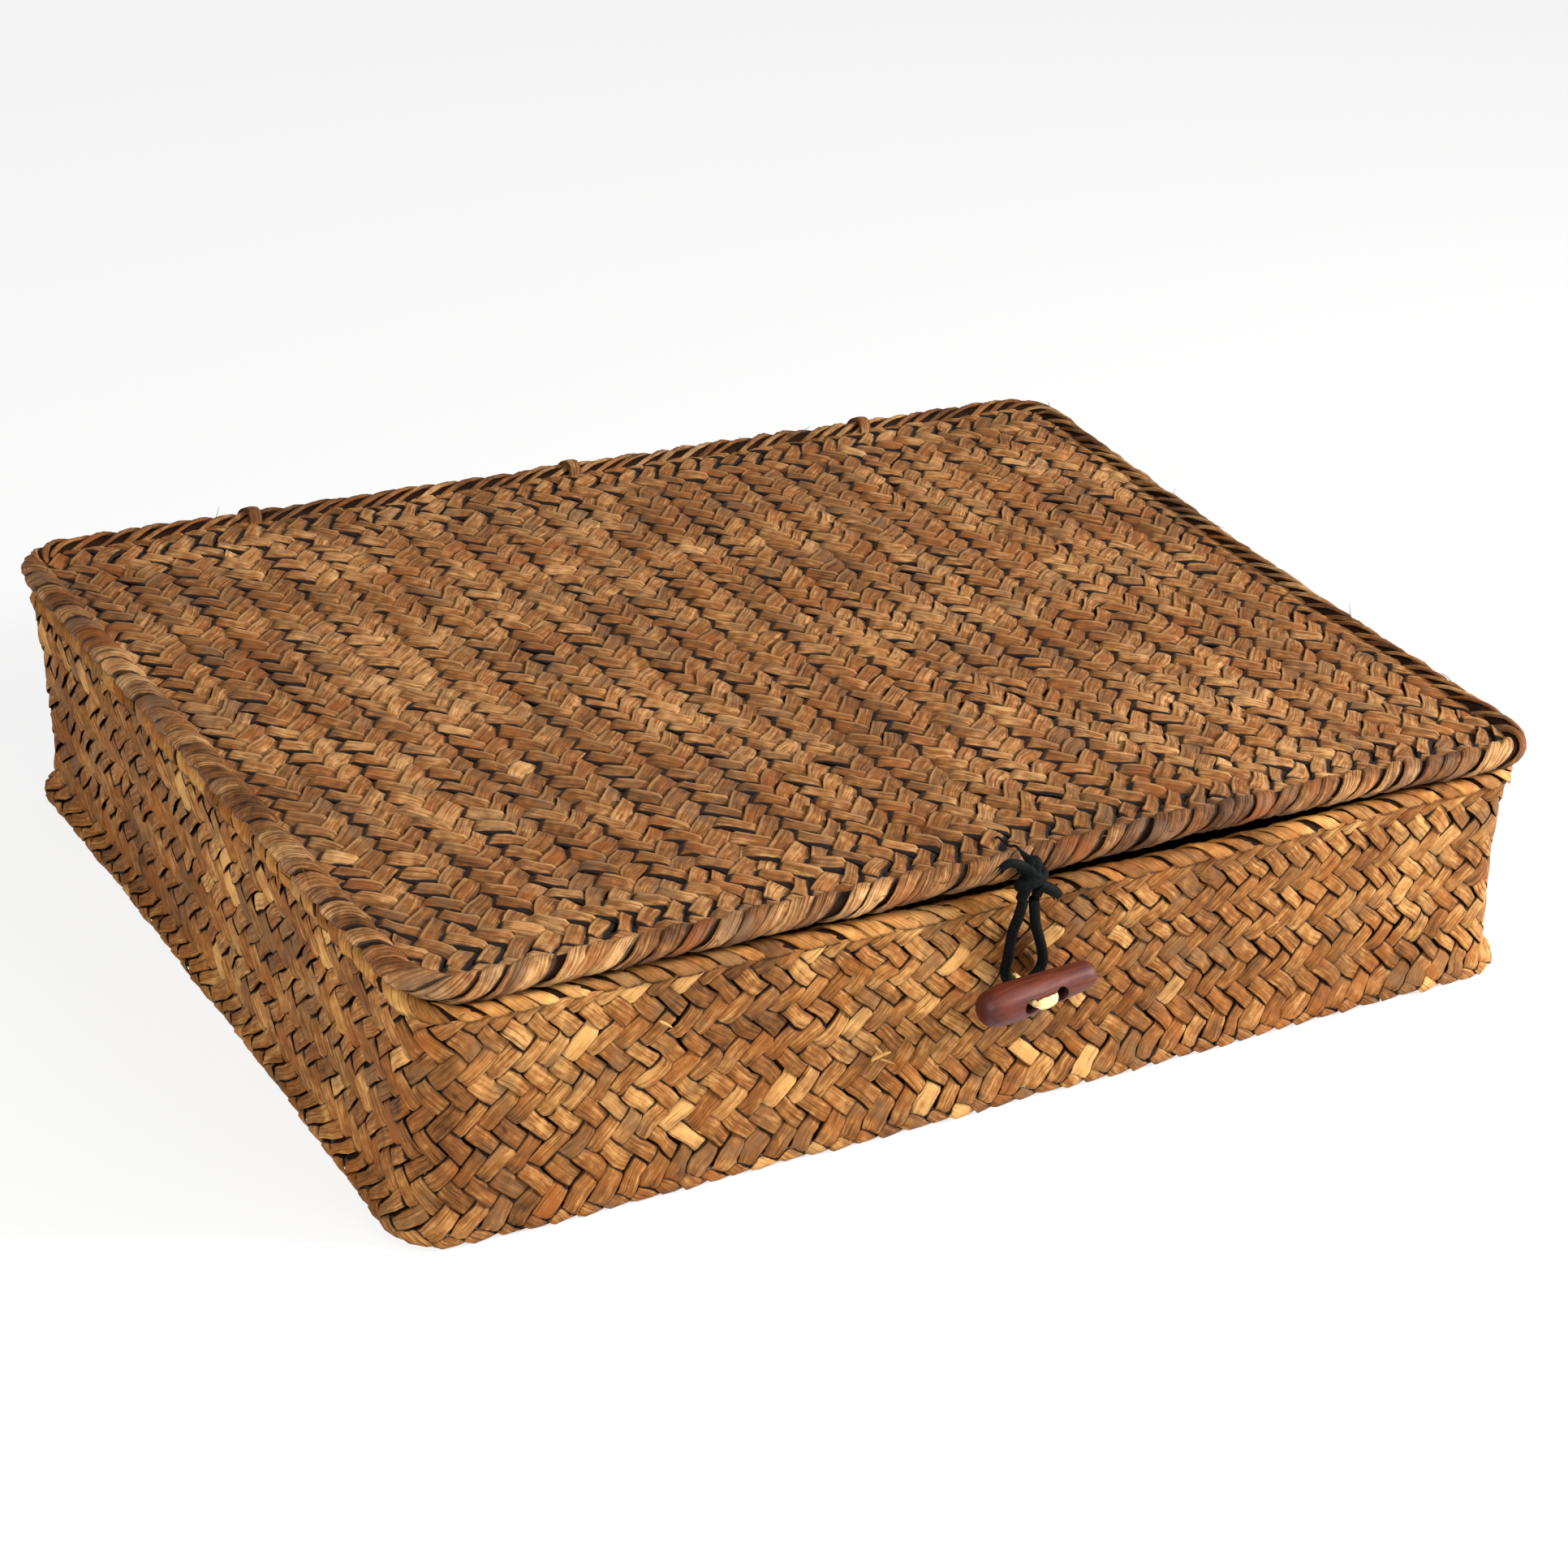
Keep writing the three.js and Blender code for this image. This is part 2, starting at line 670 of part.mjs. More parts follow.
// Toggle and its tie, modelled level about the stem and then tilted together
function buildToggle() {
  const tilted = new THREE.Group();
  tilted.position.set(toggleShift, 0, toggleHeight);
  tilted.rotation.y = THREE.MathUtils.degToRad(-toggleTilt);
  box.add(tilted);

  const profile = toggleOutlineShares.map(
    ([across, along]) => new THREE.Vector2((across * toggleDiameter) / 2, (along * toggleLength) / 2),
  );
  const peg = new THREE.LatheGeometry(profile, roundSides);
  peg.rotateZ(-Math.PI / 2).translate(0, toggleAxisY, 0);
  const holes = [-1, 1].map((side) =>
    rodAlongY(
      toggleHoleDiameter,
      (side * toggleHoleSpacing) / 2,
      bridgeFrontY - overrun,
      barFrontY + overrun,
      0,
    ),
  );
  tilted.add(add("toggle", cut(peg, holes), toggleWood));

  const barLength = toggleHoleSpacing + tieStemDiameter;
  const tie = join([
    block(
      barLength,
      tieBridgeThickness,
      tieBridgeWidth,
      0,
      (bridgeBackY + bridgeFrontY) / 2,
      0,
    ),
    block(barLength, tieBarThickness, tieStemDiameter, 0, (barBackY + barFrontY) / 2, 0),
    ...[-1, 1].map((side) =>
      rodAlongY(
        tieStemDiameter,
        (side * toggleHoleSpacing) / 2,
        bridgeBackY - tieBridgeThickness / 2,
        barFrontY + tieBarThickness / 2,
        0,
      ),
    ),
    rodAlongY(tieStemDiameter, 0, barFrontY + tieBarThickness / 2, liningFaceY + clearance, 0),
  ]);
  tilted.add(add("toggle_tie", tie, strawTie));
  const tieKnot = rodAlongY(
    tieKnotDiameter,
    0,
    liningFaceY + 2 * clearance,
    liningFaceY + 2 * clearance + tieKnotThickness,
    0,
  );
  tilted.add(add("tie_knot", tieKnot, strawTie));
}

buildTray();
buildPosts();
buildLid();
buildKnot();
buildLoop();
buildToggle();

export default box;
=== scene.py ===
"""A flat lidded box plaited from split sedge strips, dressed round its CAD frame, in metres."""

import math
from functools import partial

import bpy
import numpy as np
from mathutils import Matrix, Vector


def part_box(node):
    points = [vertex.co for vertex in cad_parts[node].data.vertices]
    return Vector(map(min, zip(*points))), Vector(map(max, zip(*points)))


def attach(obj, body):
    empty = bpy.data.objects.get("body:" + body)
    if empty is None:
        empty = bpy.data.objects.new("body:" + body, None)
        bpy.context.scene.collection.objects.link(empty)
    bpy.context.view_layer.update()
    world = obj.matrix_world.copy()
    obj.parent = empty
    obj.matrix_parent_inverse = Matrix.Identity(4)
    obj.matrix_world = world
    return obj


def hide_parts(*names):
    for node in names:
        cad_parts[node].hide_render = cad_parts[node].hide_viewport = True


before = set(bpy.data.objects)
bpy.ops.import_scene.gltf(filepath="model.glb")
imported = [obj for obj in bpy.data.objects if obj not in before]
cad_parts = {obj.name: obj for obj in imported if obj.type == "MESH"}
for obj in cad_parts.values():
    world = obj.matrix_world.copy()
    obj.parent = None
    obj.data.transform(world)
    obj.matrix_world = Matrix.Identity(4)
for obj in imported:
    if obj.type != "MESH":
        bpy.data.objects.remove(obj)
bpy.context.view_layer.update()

mm = 0.001

# Camera
# The photograph looks down on the front-left corner from about a metre,
# with the camera turned a few degrees about its own line of sight.
camera_place = Vector((-535.2, -828.6, 558.3)) * mm
camera_forward = Vector((0.4825, 0.7397, -0.469)).normalized()
camera_right = Vector((0.8579, -0.5071, 0.0827))
camera_right = (camera_right - camera_right.dot(camera_forward) * camera_forward).normalized()
camera_data = bpy.data.cameras.new("camera")
camera_data.lens = 78.88
camera_data.sensor_width = 36
camera_data.clip_start = 10 * mm
camera = bpy.data.objects.new("camera", camera_data)
turned = Matrix((camera_right, camera_right.cross(camera_forward), -camera_forward)).transposed()
camera.matrix_world = Matrix.Translation(camera_place) @ turned.to_4x4()
bpy.context.scene.collection.objects.link(camera)
bpy.context.scene.camera = camera


# Elastic cord: the loop that holds the toggle
# A black round elastic with a textile braid, doubled from its knot to the back of the toggle.
# Its route and length are the frame's own: knot, down the front wall, round under the tie and back.
cord_diameter, loop_half_width, clearance = 3.2 * mm, 6.6 * mm, 0.3 * mm
loop_settle_share = 0.55
knot_low, knot_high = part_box("loop_knot")
knot_x, knot_y, knot_mid = np.mean([knot_low, knot_high], 0)
loop_low, loop_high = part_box("loop_cord")
loop_shift = loop_high.x - cord_diameter / 2 - loop_half_width
bend_height = loop_low.z + cord_diameter / 2 + loop_half_width
loop_top = knot_low.z - 2 * clearance


def srgb(code):
    """Linear colour of an sRGB hex code: a low channel is divided by 12.92, others follow a 2.4 power."""
    channels = [int(code[at : at + 2], 16) / 255 for at in (1, 3, 5)]
    return (*(c / 12.92 if c <= 0.04045 else ((c + 0.055) / 1.055) ** 2.4 for c in channels), 1)


def add_node(tree, kind, inputs=(), stops=(), **settings):
    """Adds a shader node. Settings are its own properties, and stops are a ramp's places and colour codes, in
    rising order. Inputs go to its sockets by name or in the order of those in use: values, or what to link,
    sockets or nodes, which stand for their first output in use."""
    made = tree.nodes.new("ShaderNode" + kind)
    for name, value in settings.items():
        setattr(made, name, value)
    for at, (place, code) in enumerate(stops):
        stop = made.color_ramp.elements[at] if at < 2 else made.color_ramp.elements.new(place)
        stop.position, stop.color = place, srgb(code)
    if isinstance(inputs, dict):
        sockets = [made.inputs[name] for name in inputs]
        inputs = inputs.values()
    else:
        sockets = [socket for socket in made.inputs if socket.enabled]
    for socket, value in zip(sockets, inputs):
        if isinstance(value, bpy.types.Node):
            value = next(output for output in value.outputs if output.enabled)
        if isinstance(value, bpy.types.NodeSocket):
            tree.links.new(value, socket)
        else:
            socket.default_value = value
    return made


def new_material(name):
    """An empty node material, and add_node for its tree."""
    material = bpy.data.materials.new(name)
    material.use_nodes = True
    material.node_tree.nodes.clear()
    return material, partial(add_node, material.node_tree)


def smooth_step(value):
    """0 below 0, 1 above 1, and an even rise between."""
    share = np.clip(value, 0, 1)
    return share * share * (3 - 2 * share)


def through(points, steps):
    """A smooth line through the points: each stretch is a Catmull-Rom cubic of its four nearest points."""
    points = np.asarray(points, float)
    padded = np.vstack([2 * points[0] - points[1], points, 2 * points[-1] - points[-2]])
    at = np.linspace(0, len(points) - 1, steps)
    first = np.minimum(at.astype(int), len(points) - 2)
    t = (at - first)[:, None]
    a, b, c, d = (padded[first + k] for k in range(4))
    return 0.5 * (2 * b + (c - a) * t + (2 * a - 5 * b + 4 * c - d) * t**2 + (3 * b - a - 3 * c + d) * t**3)


def new_piece(name, points, faces, material, uv=None, values=None, smooth=True):
    """A mesh object from points (n, 3) and a list of face arrays (faces, corners). uv holds corner maps by
    name, in the order of the faces, and values holds one number a point by name."""
    mesh = bpy.data.meshes.new(name)
    corners = np.concatenate([f.ravel() for f in faces])
    counts = np.concatenate([np.full(len(f), f.shape[1]) for f in faces])
    mesh.vertices.add(len(points))
    mesh.loops.add(len(corners))
    mesh.polygons.add(len(counts))
    mesh.vertices.foreach_set("co", np.asarray(points, np.float32).ravel())
    mesh.loops.foreach_set("vertex_index", corners.astype(np.int32))
    mesh.polygons.foreach_set("loop_start", (np.cumsum(counts) - counts).astype(np.int32))
    mesh.polygons.foreach_set("use_smooth", np.full(len(counts), smooth))
    for key, places in (uv or {}).items():
        mesh.uv_layers.new(name=key).uv.foreach_set("vector", places.astype(np.float32).ravel())
    for key, numbers in (values or {}).items():
        mesh.attributes.new(key, "FLOAT", "POINT").data.foreach_set("value", numbers.astype(np.float32))
    mesh.update(calc_edges=True)
    mesh.validate()
    mesh.materials.append(material)
    made = bpy.data.objects.new(name, mesh)
    bpy.context.scene.collection.objects.link(made)
    return made


def skin(index):
    """Faces of closed forms whose points are numbered (form, section, corner): four-cornered ones between
    neighbouring sections, then the caps over each form's first section and over its last."""
    beside = np.roll(index, -1, axis=2)
    quads = np.stack([index[:, :-1], index[:, 1:], beside[:, 1:], beside[:, :-1]], -1).reshape(-1, 4)
    return [quads, np.concatenate([index[:, 0], index[:, -1, ::-1]])]


def tube_piece(name, lines, radii, sides, material, reference=(0, 1, 0), flat=1.0):
    """Round cords as one mesh: every line in lines (n, 3) carries a circle of its radii, flattened by flat
    square to the reference direction, and capped. The map "cord" runs round and along in metres."""
    round_share = np.arange(sides)[:, None] / sides
    angle = round_share * 2 * np.pi
    points, faces, uv, first = [], [], [], 0
    for line, radius in zip(lines, radii):
        tangent = np.gradient(line, axis=0)
        tangent /= np.linalg.norm(tangent, axis=1, keepdims=True)
        side = np.cross(tangent, np.broadcast_to(reference, line.shape))
        side /= np.linalg.norm(side, axis=1, keepdims=True)
        lift = flat * np.cross(side, tangent)
        ring = side[:, None] * np.cos(angle) + lift[:, None] * np.sin(angle)
        radius = np.broadcast_to(radius, len(line))[:, None, None]
        points.append((line[:, None] + radius * ring).reshape(-1, 3))
        faces.append(skin(first + np.arange(len(line) * sides).reshape(1, -1, sides)))
        first += len(line) * sides
        run = np.concatenate([[0], np.cumsum(np.linalg.norm(np.diff(line, axis=0), axis=1))])
        u = round_share + np.array([0, 0, 1, 1]) / sides
        v = np.stack([run[:-1], run[1:], run[1:], run[:-1]], -1)[:, None]
        uv.append(np.stack(np.broadcast_arrays(u, v), -1).reshape(-1, 2))
    quads, caps = (np.concatenate(kind) for kind in zip(*faces))
    uv.append(np.zeros((caps.size, 2)))
    return new_piece(name, np.concatenate(points), [quads, caps], material, {"cord": np.concatenate(uv)})


def finish_piece(piece, body, slot, *nodes):
    """Hangs a piece on its body, in place of CAD nodes, which it hides. Its slot is not used."""
    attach(piece, body)
    if nodes:
        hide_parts(*nodes)


# Black polyester braid over rubber: near-black with a green cast and a soft sheen. Its ribs are drawn every
# 0.9 mm along the cord, as the real braid's 0.4 mm is too fine to show.
rib_spacing, ribs_round = 0.9 * mm, 5
elastic, add = new_material("braided_elastic")
split = add("SeparateXYZ", [add("UVMap", uv_map="cord")]).outputs
turn = add("Math", [split[0], ribs_round], operation="MULTIPLY")
run = add("Math", [split[1], 1 / rib_spacing], operation="MULTIPLY")
ribs = [add("Math", [run, turn], operation=lean) for lean in ("ADD", "SUBTRACT")]
braid = add("Math", [add("Math", [rib, 1.0], operation="PINGPONG") for rib in ribs], operation="MULTIPLY")
fuzz = add("TexNoise", {"Vector": add("TexCoord").outputs["Object"], "Scale": 900})
colour = add("Mix", [braid, srgb("#010202"), srgb("#080b0a")], data_type="RGBA")
bump = add("Bump", {"Height": add("Math", [braid, fuzz]), "Strength": 0.5, "Distance": 0.2 * mm})
surface = add("BsdfPrincipled", {"Base Color": colour, "Normal": bump, "Roughness": 0.75, "IOR": 1.5,
                                 "Specular IOR Level": 0.1, "Sheen Weight": 0.015, "Sheen Roughness": 0.5,
                                 "Sheen Tint": srgb("#5d7a70")})
add("OutputMaterial", [surface])

# The box's own sizes, as the frame has them before it is bent out of true
half_x, half_y, box_height, corner_radius = 200 * mm, 150 * mm, 88 * mm, 20 * mm
outer_layer, lining_layer = 1.6 * mm, 1.4 * mm
hoop_radius, post_wire = 1.5 * mm, 1.8 * mm
wire_space = post_wire + 2 * clearance
waist_inset, waist_height = 6 * mm, 22 * mm
wall_thickness = outer_layer + wire_space + lining_layer
foot_radius = hoop_radius + clearance + outer_layer
foot_inset = 1.5 * mm + foot_radius
foot_top = 2 * foot_radius
roll_radius = 4.5 * mm
lid_roll_y, lid_roll_z = half_y - roll_radius, box_height - roll_radius
rim_inset = 2 * mm + roll_radius
rim_height = lid_roll_z - 2 * roll_radius - clearance
wall_top = rim_height - hoop_radius - clearance
wall_top_inset = rim_inset - wall_thickness / 2

# What plaiting by hand leaves uneven: how far the box's upper and lower edges are drawn out of true,
# and how far the rim sags and the lid springs up between them at the front
front_right_in, back_left_out, back_right_out = 6.7 * mm, 4.3 * mm, 1.1 * mm
right_bow, foot_left_bow, foot_front_bow = 4.9 * mm, 1.9 * mm, 1.7 * mm
front_right_droop, rim_sag, lid_spring = 1.7 * mm, 2.6 * mm, 1.5 * mm
low_reach, high_reach = 30 * mm, 70 * mm


def out_of_true(x, y, z):
    """The box as its strips' pull leaves it: upper corners shift, each by its own share, the right side bows
    in, the front right droops, and at the foot the left side bows in and the front bellies out. Gives points
    (..., 3)."""
    u, v = x / half_x, y / half_y
    high = smooth_step(z / high_reach)
    low = (1 - np.clip(z / low_reach, 0, 1)) ** 2
    front, back, left, right = (1 - v) / 2, (1 + v) / 2, (1 - u) / 2, (1 + u) / 2
    shift_x = back_right_out * right * back - front_right_in * right * front - back_left_out * left * back
    shift_x = shift_x - right_bow * right * (1 - v**2)
    moved_x = x + high * shift_x + low * foot_left_bow * left * (1 - v**2)
    moved_y = y - low * foot_front_bow * front * (1 - u**2)
    return np.stack(np.broadcast_arrays(moved_x, moved_y, z - high * front_right_droop * right * front), -1)


def near_front(y):
    """1 at the front edge, fading to 0 a quarter of the way back."""
    return smooth_step((-y / half_y - 0.45) / 0.45)


def tray_shape(x, y, z):
    """The tray out of true, its rim sagging in the middle of the front and its foot flat on the ground."""
    sag = smooth_step((x / half_x + 0.85) / 0.75) * smooth_step((0.85 - x / half_x) / 0.55)
    sag = sag * near_front(y) * smooth_step((z - 40 * mm) / low_reach)
    return out_of_true(x, y, np.maximum(z - rim_sag * sag, 0))


def lid_shape(x, y, z):
    """The lid out of true, its front edge sprung up right of the middle."""
    spring = smooth_step((x / half_x + 0.2) / 0.55) * smooth_step((0.95 - x / half_x) / 0.3)
    return out_of_true(x, y, z + lid_spring * spring * near_front(y))


def wall_inset(height):
    """How far the wall's outer face stands in from the lid's outline: a quarter sine from the foot to the
    waist, and from there a parabola out to the rim."""
    low = np.clip((height - foot_top) / (waist_height - foot_top), 0, 1)
    high = np.clip((height - waist_height) / (wall_top - waist_height), 0, 1)
    below = foot_inset + (waist_inset - foot_inset) * np.sin(low * np.pi / 2)
    above = waist_inset + (wall_top_inset - waist_inset) * high**2
    return np.where(height < waist_height, below, above)


def strand(side):
    """One leg of the loop: taut, it runs nearly straight from the knot back and out to behind the toggle."""
    down = np.array([0, 0.06, 0.25, 0.45, 0.65, 0.85])
    spread, settled = (smooth_step(down) + 2 * down) / 3, (smooth_step(down / loop_settle_share) + down) / 2
    top_x = knot_x + side * (cord_diameter / 2 + clearance)
    low_x = loop_shift + side * loop_half_width
    height = loop_top + (bend_height - loop_top) * down
    dropped = tray_shape(0.0, -half_y, height)[:, 2]
    behind = wall_inset(np.minimum(2 * height - dropped, wall_top)) - half_y - clearance - cord_diameter / 2
    return np.stack([top_x + (low_x - top_x) * spread, knot_y + (behind - knot_y) * settled, height], -1)


bend_angle = np.pi * (1 + np.linspace(0, 1, 9))
loop_bend = np.stack([loop_shift + loop_half_width * np.cos(bend_angle),
                      np.full(9, loop_high.y - cord_diameter / 2),
                      bend_height + loop_half_width * np.sin(bend_angle)], -1)
loop_points = np.vstack([strand(-1), loop_bend, strand(1)[::-1]])
loop_line = through(loop_points, 161)
loop_cord = tube_piece("elastic_loop", [loop_line], [cord_diameter / 2], 20, elastic)
finish_piece(loop_cord, "loop", "black_cord", "loop_cord")


# Knot, tails and anchor of the elastic
# The cord's two ends are tied in an overhand knot on the lid's front border, trimmed short,
# and a thinner end goes back over the border between two wraps to a stopper under the lid.
def knot_turn(tilt, reach, drop, depth, swing):
    """One turn of the knot: an ellipse round its middle, tilted in the front plane and swung to the front."""
    angle = np.linspace(0, 2 * np.pi, 37)
    across = reach * np.cos(angle)
    height = knot_mid + drop + across * np.sin(tilt) + 0.6 * mm * np.sin(2 * angle)
    return np.stack([knot_x + across * np.cos(tilt), knot_y + depth * np.sin(angle) + swing, height], -1)


core_points = [(-2.6, 0, 0.4), (-2.2, -1, 4), (-0.6, -1.3, 8), (0.8, -0.6, -2.6), (0.4, 1, -1.8)]
core_levels = [knot_low.z] * 3 + [knot_high.z] * 2
core_points = np.array(core_points) * mm + [(knot_x, knot_y, level) for level in core_levels]
knot_core = through(core_points, 24)
knot_lines = [
    knot_turn(math.radians(24), 3.9 * mm, -0.6 * mm, 1.7 * mm, -0.1 * mm),
    knot_turn(math.radians(-30), 3.7 * mm, 1.6 * mm, 1.6 * mm, 0.2 * mm),
    knot_core,
    knot_core * [-1, 1, 1] + [2 * knot_x + 0.5 * mm, 0.5 * mm, 0],
]
knot_radii = np.array([1.75, 1.65, 1.7, 1.6]) * mm
knot = tube_piece("elastic_knot", knot_lines, knot_radii, 16, elastic, (0.1, 1, 0.2))
finish_piece(knot, "lid", "black_cord", "loop_knot")

fray = np.random.default_rng(11)


def tail_piece(side, places, radius, fibres, spread):
    """A cut end of cord, blunt, through places from the knot's middle in mm, and loose fibres at its tip."""
    line = through(np.array(places) * mm + [knot_x, knot_y, knot_mid], 16)
    lines, radii = [line], [radius * (1 - 0.22 * np.linspace(0, 1, 16) ** 3)]
    tip, direction = line[-1], (line[-1] - line[-3]) / np.linalg.norm(line[-1] - line[-3])
    for _ in range(fibres):
        bend = fray.normal(0, spread, (2, 3))
        start = tip - direction * 1.0 * mm + fray.normal(0, 0.45 * radius, 3)
        reach = direction * fray.uniform(1.2, 2.6) * mm
        lines.append(through([start, start + reach / 2 + bend[0], start + reach + bend[1]], 6))
        radii.append(np.linspace(0.28, 0.08, 6) * mm)
    finish_piece(tube_piece(f"elastic_tail_{side}", lines, radii, 12, elastic), "lid", "black_cord",
                 f"loop_tail_{side}")


left_places = [(-2.4, -0.6, 3.8), (-6, -1.2, 6.1), (-9.4, -0.9, 6.9), (-11.6, -0.5, 5.4)]
tail_piece("left", left_places, 1.4 * mm, 7, 0.3 * mm)
tail_piece("right", [(2.2, -1.2, -2.4), (5.8, -2, -4.2), (9.2, -1.6, -6.8)], 1.85 * mm, 14, 0.45 * mm)

_, anchor_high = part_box("loop_anchor")
stop_low, stop_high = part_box("loop_stop_knot")
stop_middle = np.mean([stop_low, stop_high], 0)
over_z = lid_shape(knot_x, -lid_roll_y, lid_roll_z)[2]
over = roll_radius + 0.9 * mm
over_border = [(knot_x, -lid_roll_y - over * math.cos(lap), over_z + over * math.sin(lap))
               for lap in (1.2, 1.75, 2.35)]
anchor_points = [
    (knot_x - 0.2 * mm, knot_y + 0.6 * mm, knot_high.z - 2.6 * mm),
    *over_border,
    (knot_x, stop_middle[1] - 1.2 * mm, anchor_high.z - 3.6 * mm),
    (knot_x, stop_middle[1], anchor_high.z - 6.2 * mm),
    (knot_x, stop_middle[1], stop_high.z - 1 * mm),
]
anchor_radius = np.interp(np.linspace(0, 1, 40), [0, 0.07, 0.18, 0.7, 1], [1.6, 1.1, 0.42, 0.34, 0.5]) * mm
anchor = tube_piece("elastic_anchor", [through(anchor_points, 40)], [anchor_radius], 12, elastic, (1, 0, 0))
finish_piece(anchor, "lid", "black_cord", "loop_anchor")

stop_angle = np.linspace(0, 2 * np.pi, 33)
stop_turn = [1.35 * np.cos(stop_angle), 1.35 * np.sin(stop_angle), 0.5 * np.sin(2 * stop_angle)]
stop_turn = np.stack(stop_turn, -1) * mm
stop_lines = [stop_turn + stop_middle, stop_turn[:, [2, 0, 1]] + stop_middle]
stop_knot = tube_piece("elastic_stopper", stop_lines, [1.2 * mm, 1.2 * mm], 12, elastic, (0.3, 0.5, 1))
finish_piece(stop_knot, "lid", "black_cord", "loop_stop_knot")


# Tray's outer plait
# Split sedge strips 5.8 mm wide, soaked, smoked brown and plaited over two and under two at 45 degrees,
# so that like-leaning steps run in level rows. The walls turn under at a hooped ridge into the bottom.
steps_round = 163
strip_thickness = 0.55 * mm
outline_radius = corner_radius - 5 * mm
straight_x, straight_y = 2 * (half_x - corner_radius), 2 * (half_y - corner_radius)
quarter = outline_radius * np.pi / 2
outline_breaks = np.cumsum([0, *[straight_x, quarter, straight_y, quarter] * 2])
outline_length = float(outline_breaks[-1])
pitch = outline_length / steps_round / math.sqrt(2)


def outline(along, inset):
    """The box's rounded outline: the centre of a circle walks round a rectangle and stops at each corner
    while the circle's radius turns a quarter. Anticlockwise seen from above, from the front's left end.
    Gives the point's x and y and the outward direction's x and y."""
    along = np.mod(along, outline_length)
    turn = np.radians(np.interp(along, outline_breaks, [-90, -90, 0, 0, 90, 90, 180, 180, 270]))
    x = np.interp(along, outline_breaks, straight_x / 2 * np.array([-1, 1, 1, 1, 1, -1, -1, -1, -1]))
    y = np.interp(along, outline_breaks, straight_y / 2 * np.array([-1, -1, -1, 1, 1, 1, 1, -1, -1]))
    radius = corner_radius - inset
    return x + radius * np.cos(turn), y + radius * np.sin(turn), np.cos(turn), np.sin(turn)


def runs(on):
    """The runs of True cells along each row: row, first cell and count."""
    edges = np.diff(np.pad(on.astype(int), ((0, 0), (1, 1))), axis=1)
    row, first = np.nonzero(edges == 1)
    return row, first, np.nonzero(edges == -1)[1] - first


def strips_piece(name, points, shares, looks, material):
    """Many strips as one mesh: points (strip, step, corner, 3) are a closed section carried along each strip.
    Shares are the place along and across (-1 to 1) for the map "place", then metres along and across for the
    map "grain". Looks are numbers for each strip, and the map OFBake gives every strip a cell of its own."""
    count, steps, corners = points.shape[:3]
    faces = skin(np.arange(count * steps * corners).reshape(count, steps, corners))
    face_points = np.concatenate([part.ravel() for part in faces])
    flat = lambda value: np.broadcast_to(value, (count, steps, corners)).ravel()
    place, grain = (np.stack([flat(a), flat(b)], -1)[face_points] for a, b in (shares[:2], shares[2:]))

    cells = math.ceil(math.sqrt(count))
    cell = np.stack([np.arange(count) % cells, np.arange(count) // cells], -1)[:, None]
    u = np.linspace(0.03, 0.97, corners + 1)[np.add.outer(np.arange(corners), [0, 0, 1, 1])]
    v = np.linspace(0.12, 0.88, steps)[np.add.outer(np.arange(steps - 1), [0, 1, 1, 0])][:, None]
    turn = np.arange(corners) / corners * 2 * np.pi
    cell_maps = [np.stack(np.broadcast_arrays(u, v), -1)]
    for way, level in ((turn, 0.06), (turn[::-1], 0.94)):
        cell_maps.append(np.stack([0.5 + 0.3 * np.cos(way), level - 0.035 * np.sin(way)], -1))
    bake = np.concatenate([(part.reshape(-1, 2) + cell).reshape(-1, 2) for part in cell_maps]) / cells
    values = {key: flat(np.reshape(value, (-1, 1, 1))) for key, value in looks.items()}
    maps = {"place": place, "grain": grain, "OFBake": bake}
    return new_piece(name, points.reshape(-1, 3), faces, material, maps, values)


